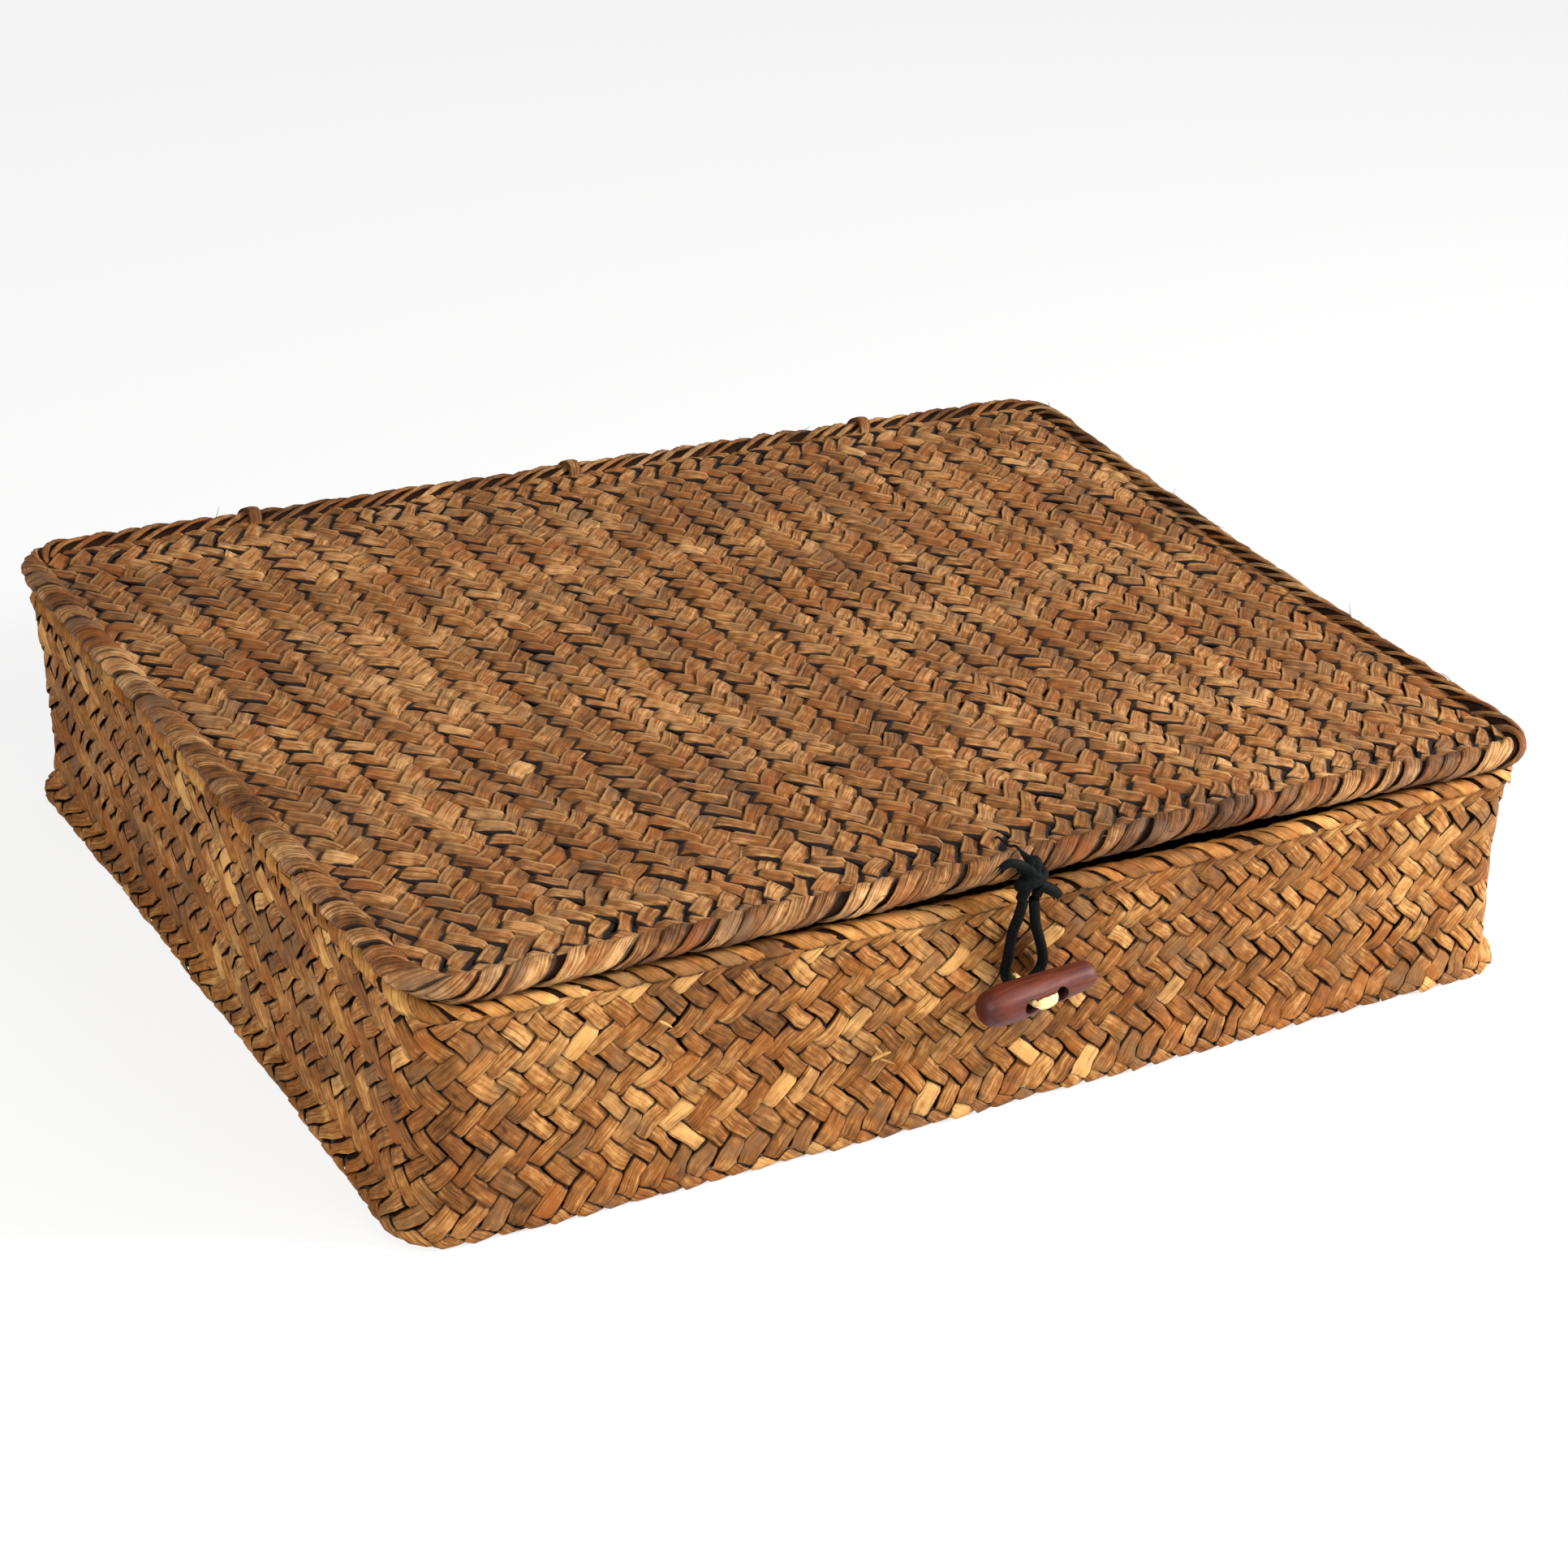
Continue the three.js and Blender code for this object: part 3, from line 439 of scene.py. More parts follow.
def plait(name, width, height, on_top, place, material, seed, round_steps=None, rise=0.65 * mm,
          crown=0.06 * mm, swell=0.35 * mm, tilt=0.3 * mm, raised=-1, ripple=0.28 * mm, spread=0.45,
          pale_share=0.035, tint_share=0.12, mirrored=False, side_seams=(0.9, 1.0), tip_seams=(1.0, 1.0),
          seam_band=0.0, barrel_share=0.03):
    """A sheet of strips in two families at 45 degrees. Strip k of the second crosses strip m of the first,
    and on_top says where the first is on top. Each run of such crossings is one float, which rises from
    under a strip, lies on top and dives under the next, like a shingle: its upper edge is lifted by tilt
    where raised is 1, its lower where it is -1. place turns (along, up, height off the sheet) into points.
    side_seams and tip_seams are how strong each family's painted crevice shade is at its tucked edges and
    ends, full in bands seam_band wide at the lower and upper edges, and mirrored turns round the second
    family's shaded end."""
    wander, warp = 0.2 * mm, 1.1 * mm
    draw = np.random.default_rng(seed)
    root = math.sqrt(2)
    k = np.arange(-4, math.ceil((width + height) / root / pitch) + 5)
    m = np.arange(-math.ceil(width / root / pitch) - 4, math.ceil(height / root / pitch) + 5)
    first_on_top = on_top(k[:, None], m)
    row_a, start_a, count_a = runs(first_on_top.T)
    row_b, start_b, count_b = runs(~first_on_top)
    second = np.repeat([False, True], [len(row_a), len(row_b)])
    cells = np.concatenate([count_a, count_b])
    strip = np.concatenate([m[row_a], k[row_b]])
    middle = np.concatenate([k[start_a] + (count_a - 1) / 2, m[start_b] + (count_b - 1) / 2]) * pitch
    u, v = np.where(second, strip * pitch, middle), np.where(second, middle, strip * pitch)
    s, t = (u - v) / root, (u + v) / root
    edge = 0 if round_steps else 3 * mm
    kept = (s >= -edge) & (s < width + edge) & (t >= -3 * mm) & (t < height + 3 * mm)
    second, cells, strip, u, v, t = (value[kept] for value in (second, cells, strip, u, v, t))
    in_band = (t < seam_band) | (t > height - seam_band)
    count = len(cells)
    each = lambda value: value[:, None, None]
    vary = lambda size, steps=1: size * draw.normal(size=(count, steps, 1))

    # Each strip keeps its own tone, width and slow wander over its whole length
    strips = round_steps or 400
    own = second.astype(int), np.mod(strip, strips)
    strip_tone, strip_width, strip_phase, strip_tint = (draw.random((2, strips))[own] for _ in range(4))
    tone = 0.5 + spread * (0.35 * strip_tone + 0.65 * draw.random(count) - 0.5)
    tone = np.where(draw.random(count) < pale_share, 0.8 + 0.2 * draw.random(count), tone)
    tint = np.where(draw.random(count) < tint_share, draw.random(count), 0.35 + 0.3 * strip_tint)

    half = each(cells) * pitch / 2
    ends = half + np.array([[0.38], [0.08], [-0.22]]) * pitch
    along = np.concatenate([-ends, half * [[-0.3], [0.3]], ends[:, ::-1]], 1)
    corner_across = np.array([-1, -0.84, 0, 0.84, 1, 0.72, -0.72])
    corner_up = np.array([-0.5, -0.08, crown / strip_thickness, -0.08, -0.5, -1, -1]) * strip_thickness
    share = along / half
    near_end = np.minimum(np.abs(share), 1.3)
    half_width = pitch / 2 * (1 + 0.06 * (each(strip_width) - 0.5) - 0.12 * each(draw.random(count)) ** 3)
    barrel = 1 + vary(0.04) - barrel_share * near_end**2
    barrel = barrel + vary(0.04) * share + vary(0.008, 8)
    across = half_width * barrel * corner_across

    waves = 24 / (round_steps * pitch) if round_steps else 1 / (40 * mm)
    slow = np.sin(2 * np.pi * ((each(np.where(second, v, u)) + along) * waves + each(strip_phase)))
    side = across + wander * slow + vary(0.03) * along + vary(0.12 * mm) * (near_end**2 - 0.4)
    dive = smooth_step((half - np.abs(along)) / pitch / 0.6 + 0.5)
    upper = np.where(each(second), -1, 1) * corner_across
    lifted = tilt * (1 + vary(0.45)) * dive
    up = rise * (2 * dive - 1) + corner_up + lifted * raised * upper
    up = up + vary(0.09 * mm) + vary(0.1 * mm) * share
    u = each(u) + np.where(each(second), -side, along)
    v = each(v) + np.where(each(second), along, side)
    s, t = (u - v) / root, (u + v) / root

    # The whole sheet is a little uneven: slow waves and short ripples shift it, and slow waves lift it
    turn_s, turn_t = 2 * np.pi * s / width, 2 * np.pi * t / max(height, 120 * mm)
    wave = lambda a, b: np.sin(a * turn_s + b * turn_t + draw.uniform(0, 2 * np.pi))
    many, often = max(2, round(width / (95 * mm))), max(4, round(width / (19 * mm)))
    s = s + warp * (0.6 * wave(many, 1) + 0.4 * wave(2 * many - 1, 2))
    t = t + 0.7 * warp * (0.6 * wave(many + 1, 1) + 0.4 * wave(2 * many + 3, 1))
    s = s + ripple * (wave(often, 5) + 0.8 * wave(-often - 7, 8) + 0.6 * wave(2 * often - 3, -4))
    t = t + ripple * (wave(often + 5, 4) + 0.8 * wave(-often + 3, 7) + 0.6 * wave(2 * often + 5, 3))
    up = up + swell * (0.5 * wave(many - 1, 2) + 0.5 * wave(2 * many + 1, 3))
    points = place(s, t, up)
    start = draw.random((2, count, 1, 1))
    facing = np.where(each(second), -1 if mirrored else 1, 1)
    shares = (raised * facing * share, raised * upper, along + start[0], across + start[1])
    looks = {"tone": tone, "tint": tint}
    # edge and tip: strength of the painted crevice shade at each float's tucked edge and end
    for look, dark, faint in (("edge", side_seams, 0.35), ("tip", tip_seams, 0.3)):
        looks[look] = np.where(in_band, 1, np.where(second, dark[1], dark[0]))
        looks[look] = looks[look] * np.where(draw.random(count) < 0.3, faint, 1)
    return strips_piece(name, points, shares, looks, material)


def sedge(name, dark, body, pale, orange, grey, streaks=0.5, relief=0.55, tucked=(0.86, 1.0),
          started=(0.92, 1.02), lifted_shade=0.55, end_shade=0.7, widening=0.06, edge_highlight=0.0, casts=1.0,
          cracking=0.6):
    """Split sedge: a dull satin rind with fibre bundles 0.8 mm apart, a smoked stain that differs from float
    to float and in patches, and thin dark cracks. Painted over it are shade, a dark, ragged crevice where the
    next strip covers the float, and a highlight on its lifted edge. The shade darkens between the shares in
    tucked of the half width, and in started of the half length, and is wider by widening at the shaded end.
    The lifted edge is paler by edge_highlight."""
    material, add = new_material(name)
    shares = add("SeparateXYZ", [add("UVMap", uv_map="place")]).outputs
    metres = add("UVMap", uv_map="grain")
    where = add("TexCoord").outputs["Object"]
    drawn = lambda run, gap: add("VectorMath", [metres, (1 / run, 1 / gap, 1)], operation="MULTIPLY")
    grain = add("TexNoise", {"Vector": drawn(12 * mm, 0.8 * mm), "Scale": 1, "Detail": 4, "Roughness": 0.7})
    crack = add("TexNoise", {"Vector": drawn(20 * mm, 0.75 * mm), "Scale": 1, "Detail": 1})
    ragged = add("TexNoise", {"Vector": metres, "Scale": 260, "Detail": 1})
    stain = add("TexNoise", {"Vector": where, "Scale": 30, "Detail": 3})
    cast = add("TexNoise", {"Vector": where, "Scale": 75})
    spot = add("TexNoise", {"Vector": where, "Scale": 330, "Detail": 3})
    tone, tint, edge, tip = (add("Attribute", attribute_name=look).outputs["Fac"]
                             for look in ("tone", "tint", "edge", "tip"))

    # Tone of the stain: the float's own, shifted by the stain's patches, the bundles and small spots
    level = tone
    for noise, swing in ((stain, 1.0), (grain, 2 * streaks), (spot, 0.8)):
        shift = add("Math", [noise, swing, -swing / 2], operation="MULTIPLY_ADD")
        level = add("Math", [level, shift])
    colour = add("ValToRGB", [level], stops=((0, dark), (0.5, body), (1, pale)))

    # Warm orange floats and patches, then greyish ones, then cracks and a painted highlight on the lifted edge
    for code, own, own_share, patch, patch_share in ((orange, (0.72, 1.0), 0.7, (0.52, 0.7), 0.5),
                                                     (grey, (0.3, 0.0), 0.6, (0.46, 0.3), 0.55)):
        float_cast = add("MapRange", [tint, own[0], own[1], 0, own_share * casts])
        patch_cast = add("MapRange", [cast, patch[0], patch[1], 0, patch_share])
        share = add("Math", [float_cast, patch_cast], operation="MAXIMUM")
        colour = add("Mix", [share, colour, srgb(code)], data_type="RGBA")
    cracked = add("MapRange", [crack, cracking, cracking + 0.1, 0, 0.6])
    colour = add("Mix", [cracked, colour, srgb(dark)], data_type="RGBA")
    # Painted highlight: the lifted edge drawn toward the pale colour
    lit = add("MapRange", [shares[1], 0.45, 0.85, 0, edge_highlight], interpolation_type="SMOOTHSTEP")
    colour = add("Mix", [lit, colour, srgb(pale)], data_type="RGBA")

    # Painted crevice shade: wide at the tucked edge and end, a thin line at the others
    rag = add("Math", [ragged, 0.3, -0.15], operation="MULTIPLY_ADD")
    widened = add("Math", [shares[0], -widening, rag], operation="MULTIPLY_ADD")
    seams = []
    for base, way, side, (clear, full), darkness in (
            (widened, shares[1], "SUBTRACT", tucked, edge),
            (rag, shares[0], "SUBTRACT", started, tip),
            (rag, shares[1], "ADD", (0.95, 1.06), lifted_shade),
            (rag, shares[0], "ADD", (0.97, 1.07), end_shade)):
        reach = add("Math", [base, way], operation=side)
        seam = add("MapRange", [reach, clear, full, 0, darkness], interpolation_type="SMOOTHSTEP")
        seams.append(seam)
    sides, ends = (add("Math", pair, operation="MAXIMUM") for pair in (seams[::2], seams[1::2]))
    seam = add("Math", [sides, ends], operation="MAXIMUM")
    # Painted shade: the crevices go toward near black
    colour = add("Mix", [seam, colour, srgb("#140a05")], data_type="RGBA")

    grooves = add("Math", [add("Math", [grain, spot]), cracked], operation="SUBTRACT")
    bump = add("Bump", {"Height": grooves, "Strength": relief, "Distance": 0.3 * mm})
    rough = add("MapRange", [grain, 0.3, 0.7, 0.8, 0.58])
    surface = add("BsdfPrincipled", {"Base Color": colour, "Roughness": rough, "Normal": bump, "IOR": 1.46,
                                     "Specular IOR Level": 0.15})
    add("OutputMaterial", [surface])
    return material


def plain_sedge(name, code):
    """Painted shade for the faces of strips deep in the plait: the same stain, drawn nearly black, with a
    faint mottle.
    """
    material, add = new_material(name)
    mottle = add("TexNoise", {"Vector": add("TexCoord").outputs["Object"], "Scale": 240, "Detail": 3})
    colour = add("Mix", [mottle, srgb("#080403"), srgb(code)], data_type="RGBA")
    surface = add("BsdfPrincipled", {"Base Color": colour, "Roughness": 0.8, "Specular IOR Level": 0.05})
    add("OutputMaterial", [surface])
    return material


sedge_wall = sedge("sedge_wall", "#3c220e", "#845224", "#cb995a", "#8f4e1b", "#725537", streaks=0.75,
                   tucked=(0.76, 0.92), started=(0.85, 0.97), lifted_shade=0.85, end_shade=0.9)
# Painted shade: near-black sedge for the shadowed inside of the plait and the rolls' cores
sedge_shade = plain_sedge("sedge_shade", "#2c190d")

# The wall's profile from under the foot, round its ridge and up to inside the rim
fine_step = 0.25 * mm
ridge_angle = np.linspace(-np.pi / 2, np.pi / 2, 60)
climb = np.linspace(foot_top, rim_height - 3.9 * mm, 190)[4:]
over_angle = np.radians(np.linspace(-50, 12, 40))
rim_wrap_radius = 3.7 * mm
rim_wrap_height = rim_height - 0.5 * mm
over_radius = rim_wrap_radius - 0.25 * mm
rough_inset = np.concatenate([[12 * mm], foot_inset - foot_radius * np.cos(ridge_angle), wall_inset(climb),
                              rim_inset - over_radius * np.cos(over_angle)])
rough_height = np.concatenate([[0], foot_radius + foot_radius * np.sin(ridge_angle), climb,
                               rim_wrap_height + over_radius * np.sin(over_angle)])


def even_profile(inset, height, blur, facing=1):
    """A profile walked in even steps and rounded by a running mean over blur: run, inset, height, and the
    outward and upward parts of the direction square to it, turned round where facing is -1."""
    run = np.concatenate([[0], np.cumsum(np.hypot(np.diff(inset), np.diff(height)))])
    at = np.arange(0, run[-1], fine_step)
    window = max(1, round(blur / fine_step))
    kernel = np.hanning(window + 2)[1:-1]
    kernel = kernel / kernel.sum()
    inset, height = (np.convolve(np.pad(np.interp(at, run, value), window, mode="edge"), kernel, "same")
                     [window:-window] for value in (inset, height))
    slope_out, slope_up = np.gradient(-inset), np.gradient(height)
    size = facing * np.hypot(slope_out, slope_up)
    return at, inset, height, slope_up / size, -slope_out / size


def level_rows(phase):
    """Over two, under two, shifted one a row so that like floats stand in level rows."""
    return lambda k, m: np.mod(k + m + phase, 4) < 2


def hoop_piece(name, rings, material):
    """A hoop of closed sections (sections, corners, 3), each joined to the next and the last to the first."""
    index = np.arange(rings[..., 0].size).reshape(rings.shape[:2])
    return new_piece(name, rings.reshape(-1, 3), skin(np.vstack([index, index[:1]])[None])[:1], material)


def wall_layer(name, profile, behind, phase, turn, material, node, seed, **lay):
    """A plaited wall, and behind it a thin closed band of painted shade, nearly black, for its hidden
    crossings.
    Along the sheet is along the outline (backwards where turn is -1), up is along the profile, and height is
    square to it."""
    run, inset, height, face_out, face_up = profile
    tall = float(run[-1])
    band_front, band_back, band_rows = -1.0 * mm, -1.3 * mm, 26

    def place(s, t, up):
        t = np.clip(t, 0, tall)
        out, rise = np.interp(t, run, face_out), np.interp(t, run, face_up)
        x, y, _, _ = outline(turn * s, np.interp(t, run, inset) - (up - behind) * out)
        return tray_shape(x, y, np.interp(t, run, height) + (up - behind) * rise)

    strips = plait(f"{name}_strips", outline_length, tall, level_rows(phase), place, material, seed,
                   round_steps=steps_round, **lay)
    finish_piece(strips, "tray", "sedge_wall", node)
    t = np.linspace(0.5 * mm, tall, band_rows)
    around = np.linspace(0, outline_length, 221)[:-1, None]
    rings = place(around, np.concatenate([t, t[::-1]]), np.repeat([band_front, band_back], band_rows))
    band = hoop_piece(f"{name}_crossings", rings, sedge_shade)
    finish_piece(band, "tray", "sedge_wall", node)


wall_layer("tray_wall", even_profile(rough_inset, rough_height, blur=4 * mm), behind=1.1 * mm, phase=0, turn=1,
           material=sedge_wall, node="tray_outer_weave", seed=3, tilt=0.42 * mm, spread=0.38, tint_share=0.08)


# Tray's bottom
# The same plait, flat between the foot's ridges and seen only from below.
def flat_layer(name, inset, level, facing, shade_level, on_top, shape, material, home, seed, edge_dip=0,
               **lay):
    """A plaited level sheet facing up or down, and a thin closed plate of painted shade, nearly black, for its
    hidden crossings: rings of the outline drawn in to the middle. Strips end at the rounded edge, and dip by
    edge_dip as they reach the right and back edges. shape is the tray's or the lid's unevenness, and home the
    body, slot and node."""
    dip_from, dip_reach, plate_half = 10.5 * mm, 4.5 * mm, 0.1 * mm
    corner_x, corner_y, limit = straight_x / 2, straight_y / 2, corner_radius - inset

    def place(s, t, up):
        x, y = facing * (s - half_x + inset), t - half_y + inset
        over_x, over_y = np.maximum(np.abs(x) - corner_x, 0), np.maximum(np.abs(y) - corner_y, 0)
        share = np.minimum(1, limit / np.maximum(np.hypot(over_x, over_y), 1e-9))
        x = np.sign(x) * (np.minimum(np.abs(x), corner_x) + over_x * share)
        y = np.sign(y) * (np.minimum(np.abs(y), corner_y) + over_y * share)
        dip = edge_dip * smooth_step((dip_from - np.minimum(half_x - x, half_y - y)) / dip_reach)
        return shape(x, y, level + facing * up - dip)

    width, depth = 2 * (half_x - inset), 2 * (half_y - inset)
    strips = plait(f"{name}_strips", width, depth, on_top, place, material, seed, **lay)
    finish_piece(strips, *home)
    x, y, _, _ = outline(np.linspace(0, outline_length, 121)[:-1], inset)
    drawn_in = np.array([0.05, 0.35, 0.7, 1, 1, 0.7, 0.35, 0.05])[:, None]
    heights = shade_level + np.repeat([plate_half, -plate_half], 4)[:, None]
    rings = shape(x * drawn_in, y * drawn_in, heights)
    faces = skin(np.arange(rings[..., 0].size).reshape(1, *rings.shape[:2]))
    plate = new_piece(f"{name}_crossings", rings.reshape(-1, 3), faces, sedge_shade, smooth=False)
    finish_piece(plate, *home)


flat_layer("tray_bottom", inset=9 * mm, level=1.4 * mm, facing=-1, shade_level=1.7 * mm, on_top=level_rows(1),
           shape=tray_shape, material=sedge_wall, home=("tray", "sedge_wall", "tray_outer_weave"), seed=5,
           swell=0.1 * mm)


# Tray's lining
# The strips turn over the rim hoop and come down again as an inner wall and floor, a little paler.
sedge_lining = sedge("sedge_lining", "#6a411c", "#a26c36", "#d3a463", "#a66026", "#84684a")
floor_level = outer_layer + clearance + lining_layer
lining_rise = np.linspace(floor_level - 1 * mm, rim_height, 120)
lining_inset = wall_inset(np.maximum(lining_rise, waist_height)) + wall_thickness
wall_layer("lining_wall", even_profile(lining_inset, lining_rise, blur=3 * mm, facing=-1), behind=1.0 * mm,
           phase=2, turn=-1, material=sedge_lining, node="tray_lining_weave", seed=7)
flat_layer("lining_floor", inset=waist_inset + wall_thickness + 0.4 * mm, level=floor_level - 0.75 * mm,
           facing=1, shade_level=floor_level - 1.45 * mm, on_top=level_rows(0), shape=tray_shape,
           material=sedge_lining, home=("tray", "sedge_wall", "tray_lining_weave"), seed=9, swell=0.1 * mm)


# Frame wires
# Galvanised steel wire, drawn, with a dull zinc skin: two hoops in the tray, one in the lid and four posts.
# The metal has a cloudy spangle 4 mm across.
wire, add = new_material("galvanised_wire")
spangle = add("TexNoise", {"Vector": add("TexCoord").outputs["Object"], "Scale": 250, "Detail": 3})
colour = add("Mix", [spangle, srgb("#5f5d59"), srgb("#8d8b86")], data_type="RGBA")
rough = add("MapRange", [spangle, 0, 1, 0.3, 0.55])
add("OutputMaterial", [add("BsdfPrincipled", {"Base Color": colour, "Roughness": rough, "Metallic": 0.9})])


def ring_piece(name, inset, height, radius, sides, material, shape):
    """A ring of round section that follows the outline at an inset, under the box's unevenness."""
    turn = np.linspace(0, 2 * np.pi, sides + 1)[:-1]
    x, y, _, _ = outline(np.linspace(0, outline_length, 241)[:-1, None], inset - radius * np.cos(turn))
    return hoop_piece(name, shape(x, y, height + radius * np.sin(turn)), material)


panel_height = lid_roll_z + 0.7 * mm
for hoop, body, inset, height, shape in (("rim", "tray", rim_inset, rim_height, tray_shape),
                                         ("foot", "tray", foot_inset, foot_radius, tray_shape),
                                         ("lid", "lid", roll_radius, panel_height, lid_shape)):
    ring = ring_piece(f"{hoop}_wire", inset, height, hoop_radius, 12, wire, shape)
    finish_piece(ring, body, "frame_wire", f"{hoop}_hoop")

post_depth = outer_layer + wire_space / 2
post_height = np.linspace(outer_layer + clearance, wall_top, 24)
post_inset = wall_inset(np.maximum(post_height, waist_height)) + post_depth
for number, corner in enumerate(("front_right", "back_right", "back_left", "front_left")):
    post_along = (outline_breaks[2 * number + 1] + outline_breaks[2 * number + 2]) / 2
    post_x, post_y, _, _ = outline(post_along, post_inset)
    post_line = tray_shape(post_x, post_y, post_height)
    post = tube_piece(f"post_wire_{corner}", [post_line], [post_wire / 2], 12, wire)
    finish_piece(post, "tray", "frame_wire", f"corner_post_{corner}")


# Borders
# The strips' ends are wrapped slantwise round each hoop, side by side, into a roll: 9 mm thick on the lid and
# 7.4 mm on the tray's rim.
# On the lid's roll the started band darkens each wrap's outer underside: painted shade under the roll. The
# tucked bands of both rolls are painted shade between the wraps.
sedge_lid_border = sedge("sedge_lid_border", "#3f2412", "#80522a", "#cc9d66", "#8a4c22", "#7a5f48", 0.9,
                         relief=0.9, tucked=(0.5, 0.72), started=(0.1, 0.3), lifted_shade=0.4, cracking=0.54)
sedge_rim_border = sedge("sedge_rim_border", "#4f3016", "#96612b", "#cf9c58", "#96531e", "#7a5c3c", 0.65,
                         relief=0.7, tucked=(0.72, 0.88), started=(0.66, 0.75))


def border(body, node, inset, height, radius, core_radius, angles, slant, material, seed, shape, depth,
           shingle, wide, uneven, inner_taper, looser_slant):
    """A roll of slanting wraps on a round core. Each wrap turns about the hoop through angles (0 is outwards,
    90 up) and moves along the outline by slant times its run. Its section is a low arch with three ridges,
    one edge lifted over its neighbour, and it narrows to its ends: most at the right and back, where the
    wraps stand furthest apart and slant more by looser_slant."""
    draw = np.random.default_rng(seed)
    vary = lambda size, steps=1: size * draw.normal(size=(steps_round, steps, 1))
    spacing = outline_length / steps_round
    turns = 17
    turn = np.radians(np.linspace(*angles, turns))[:, None]
    end_share = np.linspace(-1, 1, turns)[:, None]
    corner_across = np.array([-1, -0.8, -0.5, -0.2, 0.1, 0.45, 0.8, 1, 0.7, -0.7])
    top_side = np.array([1] * 8 + [0.4] * 2)
    arch = np.array([0, 0.1, -0.12, 0.1, -0.14, 0.1, 0, 0, 0, 0]) * mm - depth * np.abs(corner_across) ** 2.4
    arch[8:] = -depth - 0.35 * mm
    start = (np.arange(steps_round)[:, None, None] + vary(uneven)) * spacing
    width = spacing / 2 * wide * (1 + vary(0.12))
    _, _, faces_x, faces_y = outline(start, 0)
    loose = smooth_step((faces_x + faces_y + 1) / 2)
    taper = 1 - inner_taper * (0.15 + 0.85 * loose) * np.maximum(end_share, 0)
    taper = taper - 0.1 * np.maximum(-end_share, 0) ** 2
    bow = vary(0.1) * spacing * np.cos(turn)
    s = start + slant * (1 + looser_slant * loose) * radius * turn - width * taper * corner_across + bow
    step = shingle * (1 + vary(0.4))
    away = radius - shingle * 0.55 + vary(0.16 * mm) + arch + step * corner_across * top_side
    away = away + vary(0.12 * mm, turns)
    x, y, _, _ = outline(s, inset - away * np.cos(turn))
    points = shape(x, y, height + away * np.sin(turn))
    offset = draw.random((2, steps_round, 1, 1))
    shares = (0.75 * end_share, corner_across, radius * turn + offset[0], corner_across * width + offset[1])
    tone = 0.2 + 0.6 * draw.random(steps_round)
    tint = np.where(draw.random(steps_round) < 0.35, draw.random(steps_round),
                    0.4 + 0.25 * draw.random(steps_round))
    # edge and tip: strength of the painted crevice shade on each wrap
    looks = {"tone": tone, "tint": tint, "edge": 0.9, "tip": 0.55}
    finish_piece(strips_piece(f"{node}_wraps", points, shares, looks, material), body, "sedge_border", node)
    # The core is painted shade: near-black sedge seen in the gaps between the wraps
    core = ring_piece(f"{node}_core", inset, height, core_radius, 16, sedge_shade, shape)
    finish_piece(core, body, "sedge_border", node)


border("lid", "lid_border", roll_radius, lid_roll_z, roll_radius, core_radius=3.0 * mm, angles=(-150, 168),
       slant=0.85, material=sedge_lid_border, seed=21, shape=lid_shape, depth=0.9 * mm, shingle=0.5 * mm,
       wide=1.14, uneven=0.12, inner_taper=0.62, looser_slant=0.9)
border("tray", "rim_border", rim_inset, rim_wrap_height, rim_wrap_radius, core_radius=2.7 * mm,
       angles=(-12, 242), slant=-1.05, material=sedge_rim_border, seed=23, shape=tray_shape, depth=0.55 * mm,
       shingle=0.4 * mm, wide=1.12, uneven=0.08, inner_taper=0.3, looser_slant=0.0)


# Lid
# Two plaited layers, the same strips, browner and pinker. In a band along the front and back the floats
# stand in rows along the edge, and between them in rows from front to back.
# On the lid the tucked band is wide and near black, a painted shadow of the neighbouring float's lifted edge,
# and the lifted edge carries a painted highlight
sedge_lid = sedge("sedge_lid", "#3d2416", "#805128", "#cd9b64", "#8a4b20", "#6c5138", streaks=0.75,
                  tucked=(0.42, 0.66), started=(0.7, 0.88), lifted_shade=0.1, end_shade=0.2, widening=-0.25,
                  edge_highlight=0.35, casts=0.6)
lid_layers = outer_layer + clearance + lining_layer
top_high, under_low = panel_height + lid_layers / 2, panel_height - lid_layers / 2
lid_inset = 4 * mm
lid_depth = 2 * (half_y - lid_inset)
band = 26 * mm


def banded_rows(k, m):
    """Rows along the edge in the front and back bands, and rows square to them between."""
    up_sheet = (k + m) * pitch / math.sqrt(2)
    along_edge = np.mod(k + m + np.where(up_sheet < lid_depth / 2, 2, 0), 4) < 2
    return np.where((up_sheet < band) | (up_sheet > lid_depth - band), along_edge, np.mod(k - m, 4) < 2)


flat_layer("lid_top", lid_inset, level=top_high - 0.85 * mm, facing=1,
           shade_level=top_high - outer_layer - 0.1 * mm, on_top=banded_rows, shape=lid_shape,
           material=sedge_lid, home=("lid", "sedge_lid", "lid_top_weave"), seed=31, edge_dip=1.2 * mm,
           rise=0.75 * mm, crown=0.15 * mm, swell=0.5 * mm, tilt=0.6 * mm, raised=1, ripple=0.4 * mm,
           spread=0.28, pale_share=0.004, tint_share=0.05, mirrored=True, side_seams=(0.25, 1.0),
           tip_seams=(0.2, 0.95), seam_band=band - 4 * mm, barrel_share=0.015)
flat_layer("lid_lining", lid_inset, level=under_low + 0.75 * mm, facing=-1,
           shade_level=under_low + lining_layer - 0.05 * mm, on_top=level_rows(1), shape=lid_shape,
           material=sedge_lid, home=("lid", "sedge_lid", "lid_lining_weave"), seed=33, swell=0.1 * mm)


